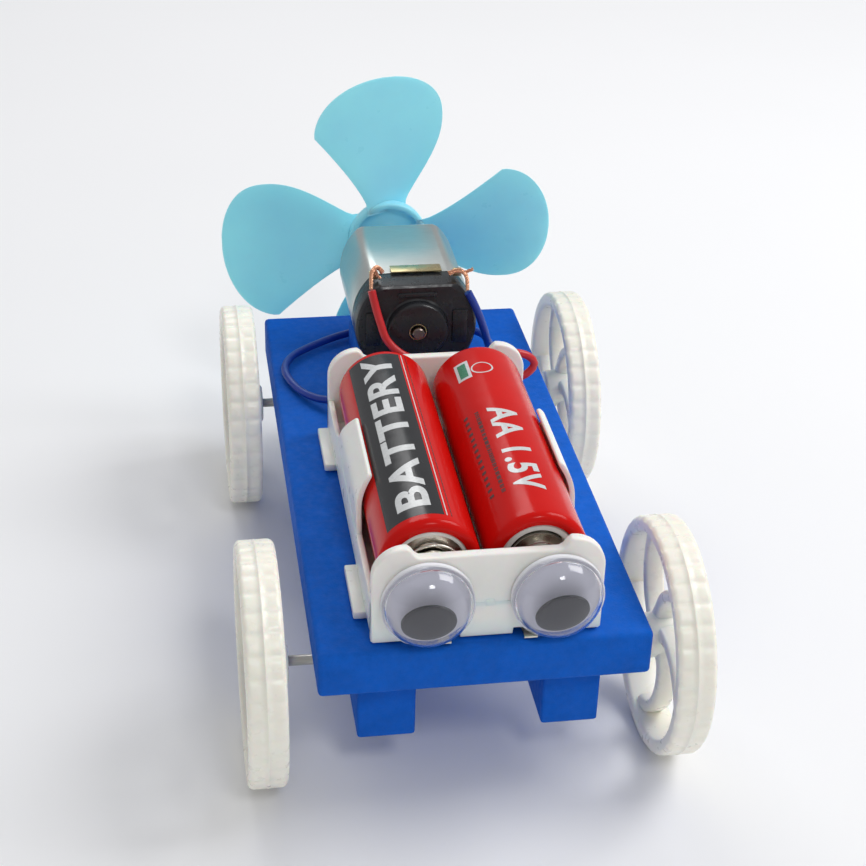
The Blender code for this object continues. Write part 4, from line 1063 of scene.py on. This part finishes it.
def make_motor():
    r, f = MOTOR_R, MOTOR_FLAT
    bm = bmesh.new()
    extrude_section(
        bm,
        [
            (74.45, r - 0.75, f - 0.75), (CAN_FRONT, r - 0.7, f - 0.7), (74.4, r - 0.02, f - 0.02),
            (74.45, r, f), (93.5, r, f), (93.95, r - 0.10, f - 0.10), (94.25, r - 0.35, f - 0.35),
            (CAN_REAR, r - 0.8, f - 0.8)
        ]
    )
    boss = [
        (0, 1.75), (2.75, 1.75), (3.0, 1.6), (3.1, 1.3), (3.1, 0.25), (3.35, 0.05), (3.9, -0.05), (0, -0.1)
    ]
    turned(bm, mm(boss), 48, Matrix.Translation(at(0, CAN_REAR, MOTOR_Z / MM)) @ ALONG_Y)
    piece(
        "motor_can_shell", to_mesh(bm, "motor_can_shell", angle=30), CAN_STEEL, "chassis", "motor_can",
    )

    bm = bmesh.new()
    extrude_section(
        bm,
        [
            (CAP_FRONT, r - 0.9, f - 0.9), (69.35, r - 0.45, f - 0.45), (69.6, r - 0.12, f - 0.12),
            (69.95, r - 0.02, f - 0.02), (74.1, r - 0.02, f - 0.02)
        ]
    )
    boss = [
        (0, 0.9), (1.25, 0.9), (1.35, 1.7), (1.6, 1.95), (4.4, 1.98), (4.8, 1.85), (5.0, 1.5), (5.0, 0.3),
        (5.25, 0.05), (6.0, -0.05), (0, -0.1)
    ]
    turned(
        bm, mm(boss), 64,
        Matrix.Translation(at(0, CAP_FRONT, MOTOR_Z / MM)) @ Matrix.Rotation(math.radians(90), 4, "X")
    )
    for side in (-1, 1):
        z = MOTOR_Z / MM
        xs = sorted((side * 5.9, side * 8.4))
        rounded_box(bm, at(xs[0], 68.95, z - 3.0), at(xs[1], 69.6, z + 3.0), 0.25 * MM, 2)
    rounded_box(bm, at(-3.2, 68.95, MOTOR_Z / MM + 5.5), at(3.2, 69.6, MOTOR_Z / MM + 6.3), 0.2 * MM, 2)
    piece(
        "motor_cap_moulding", to_mesh(bm, "motor_cap_moulding", angle=30), CAP_BLACK, "chassis",
        "motor_end_cap"
    )


make_motor()


def make_terminals():
    for side in ("left", "right"):
        low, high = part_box(f"terminal_{side}")
        bm = bmesh.new()
        rounded_box(bm, low, high, 0.08 * MM, 2)
        piece(
            f"terminal_{side}_tab", to_mesh(bm, f"terminal_{side}_tab"), BRASS, "chassis",
            f"terminal_{side}"
        )
    low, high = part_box("end_cap_strip")
    bm = bmesh.new()
    rounded_box(bm, low, high, 0.08 * MM, 2)
    piece(
        "end_cap_strip_plate", to_mesh(bm, "end_cap_strip_plate"), BRASS, "chassis", "end_cap_strip",
    )


make_terminals()

# ---------------------------------------------------------------- propeller

BLADE_ROOT, BLADE_TIP, BLADE_PLANE = 6.4, 30.0, 106.45


def blade_edges(radius):
    full_radius, full, full_root = 20.2, 13.5, 3.9
    flat_radius, flat_edge, flat_root = 21.5, 9.9, 3.6
    along = min(1.0, (radius - BLADE_ROOT) / (full_radius - BLADE_ROOT))
    closing = max(0.0, (radius - full_radius) / (BLADE_TIP - full_radius))
    fuller = (full_root + (full - full_root) * along ** 1.25) * math.sqrt(1 - closing ** 2)
    along = min(1.0, (radius - BLADE_ROOT) / (flat_radius - BLADE_ROOT))
    closing = max(0.0, (radius - flat_radius) / (BLADE_TIP - flat_radius))
    rise = math.sin(math.pi / 2 * along ** 1.1)
    straighter = (flat_root + (flat_edge - flat_root) * rise) * math.sqrt(1 - closing ** 2.6)
    return fuller, straighter


def blade(bm, turn):
    """One twisted blade, thick at its middle line and root and thin at its edges."""
    rows, columns = 34, 16
    root_pitch, tip_pitch = math.radians(28), math.radians(12)
    centre = at(0, BLADE_PLANE, MOTOR_Z / MM)
    spin = Matrix.Rotation(turn, 4, "Y")
    sheets = ([], [])
    for i in range(rows + 1):
        outward = i / rows
        reach = -0.06 + 1.058 * (1 - (1 - outward) ** 1.6)
        radius = BLADE_ROOT + (BLADE_TIP - BLADE_ROOT) * reach
        fuller, straighter = blade_edges(max(BLADE_ROOT, radius))
        pitch = tip_pitch + (root_pitch - tip_pitch) * (1 - reach) ** 3
        lines = ([], [])
        for j in range(columns + 1):
            across = 0.5 - 0.5 * math.cos(math.pi * j / columns)
            offset = (fuller + straighter) * across - straighter
            edge = 1 - (2 * across - 1) ** 4
            half = (0.10 + 0.33 * edge) * (1 - 0.3 * max(0.0, reach)) * math.sqrt(
                max(0.05, 1 - max(0.0, reach) ** 24)
            )
            for line, face in zip(lines, (1, -1)):
                y = -math.tan(pitch) * offset + face * half
                line.append(centre + spin @ Vector((radius * MM, y * MM, offset * MM)))
        sheets[0].append(lines[0])
        sheets[1].append(lines[1])
    shell(bm, *sheets)


def make_propeller():
    bm = bmesh.new()
    start, end = 104.2, 109.6
    nose = []
    length = end - start
    for i in range(13):
        t = math.radians(7.5 * i)
        nose.append((7.1 * math.sin(t), length - 3.8 * (1 - math.cos(t))))
    socket = 100.6 - start
    cup = nose + [
        (7.1, 0.3), (6.95, 0.08), (6.7, 0.0), (6.35, 0.0), (6.12, 0.1), (6.05, 0.35), (5.95, 1.45),
        (5.7, 1.68)
    ]
    cup += [
        (2.9, 1.7), (2.5, 1.45), (2.4, 1.0), (2.35, socket + 0.2), (2.2, socket), (1.35, socket),
        (1.3, socket + 0.2), (1.3, 2.0), (0.0, 2.0)
    ]
    turned(bm, mm(cup), 96, Matrix.Translation(at(0, start, MOTOR_Z / MM)) @ ALONG_Y)
    for k in range(4):
        blade(bm, math.radians(-90 * k))
    mesh = to_mesh(bm, "propeller_moulding", angle=50)
    piece("propeller_moulding", mesh, PROPELLER_BLUE, "rotor", "propeller")
    low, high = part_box("motor_shaft")
    radius, half = (high.x - low.x) / 2, (high.y - low.y) / 2
    rod = [
        (0, half), (radius - 0.15 * MM, half), (radius, half - 0.2 * MM), (radius, -half + 0.2 * MM),
        (radius - 0.15 * MM, -half), (0, -half)
    ]
    mesh = turned_mesh("motor_shaft_rod", rod, 32, Matrix.Translation((low + high) / 2) @ ALONG_Y)
    piece("motor_shaft_rod", mesh, SHAFT_STEEL, "rotor", "motor_shaft")


make_propeller()

# ---------------------------------------------------------------- pieces kept from the frame

KEPT = {
    "holder_tape": TAPE_WHITE,
    "front_bridge": NICKEL,
    "rear_contact_left": NICKEL,
    "rear_contact_right": NICKEL,
    "magnet_left": FERRITE,
    "magnet_right": FERRITE,
    "bush_front": BRASS,
    "bush_rear": BRASS,
    "brush_left": CARBON,
    "brush_right": CARBON,
    "armature_core": LAMINATION,
    "winding_1": COPPER,
    "winding_2": COPPER,
    "winding_3": COPPER,
    "commutator": COPPER,
}
for node_name, node_material in KEPT.items():
    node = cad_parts[node_name]
    node.data.materials.clear()
    node.data.materials.append(node_material)

# ---------------------------------------------------------------- floor and light


def make_floor():
    nodes = Nodes("floor_paper")
    tone = nodes.noise(6, 3.0)
    nodes.link(
        nodes.ramp(tone, [(0.3, (0.90, 0.90, 0.91)), (0.7, (0.92, 0.92, 0.93))]),
        nodes.shader.inputs["Base Color"]
    )
    nodes.set(Roughness=0.75, Specular_IOR_Level=0.2)
    bm = bmesh.new()
    bmesh.ops.create_grid(bm, x_segments=2, y_segments=2, size=4.0)
    mesh = bpy.data.meshes.new("floor")
    bm.to_mesh(mesh)
    bm.free()
    floor = bpy.data.objects.new("floor", mesh)
    floor.location.z = -0.00005
    SCENE.collection.objects.link(floor)
    floor.data.materials.append(nodes.material)


def area_light(name, place, target, size, power, color=(1, 1, 1)):
    data = bpy.data.lights.new(name, "AREA")
    data.shape = "RECTANGLE"
    data.size, data.size_y = size
    data.energy = power
    data.color = color
    light = bpy.data.objects.new(name, data)
    SCENE.collection.objects.link(light)
    light.location = place
    light.rotation_euler = (Vector(target) - Vector(place)).to_track_quat("-Z", "Y").to_euler()


make_floor()
area_light("key", (0.46, 0.06, 0.56), (0, 0, 0.02), (0.38, 0.38), 2.7)
area_light("back", (-0.10, 0.50, 0.50), (0, 0, 0.05), (0.30, 0.20), 0.7)
area_light("front", (0.12, -0.60, 0.70), (0, 0, 0.02), (0.16, 0.16), 1.1)
world = bpy.data.worlds.new("studio")
world.use_nodes = True
world.node_tree.nodes["Background"].inputs["Color"].default_value = (0.93, 0.94, 0.96, 1.0)
world.node_tree.nodes["Background"].inputs["Strength"].default_value = 0.47
SCENE.world = world
SCENE.view_settings.view_transform = "Standard"
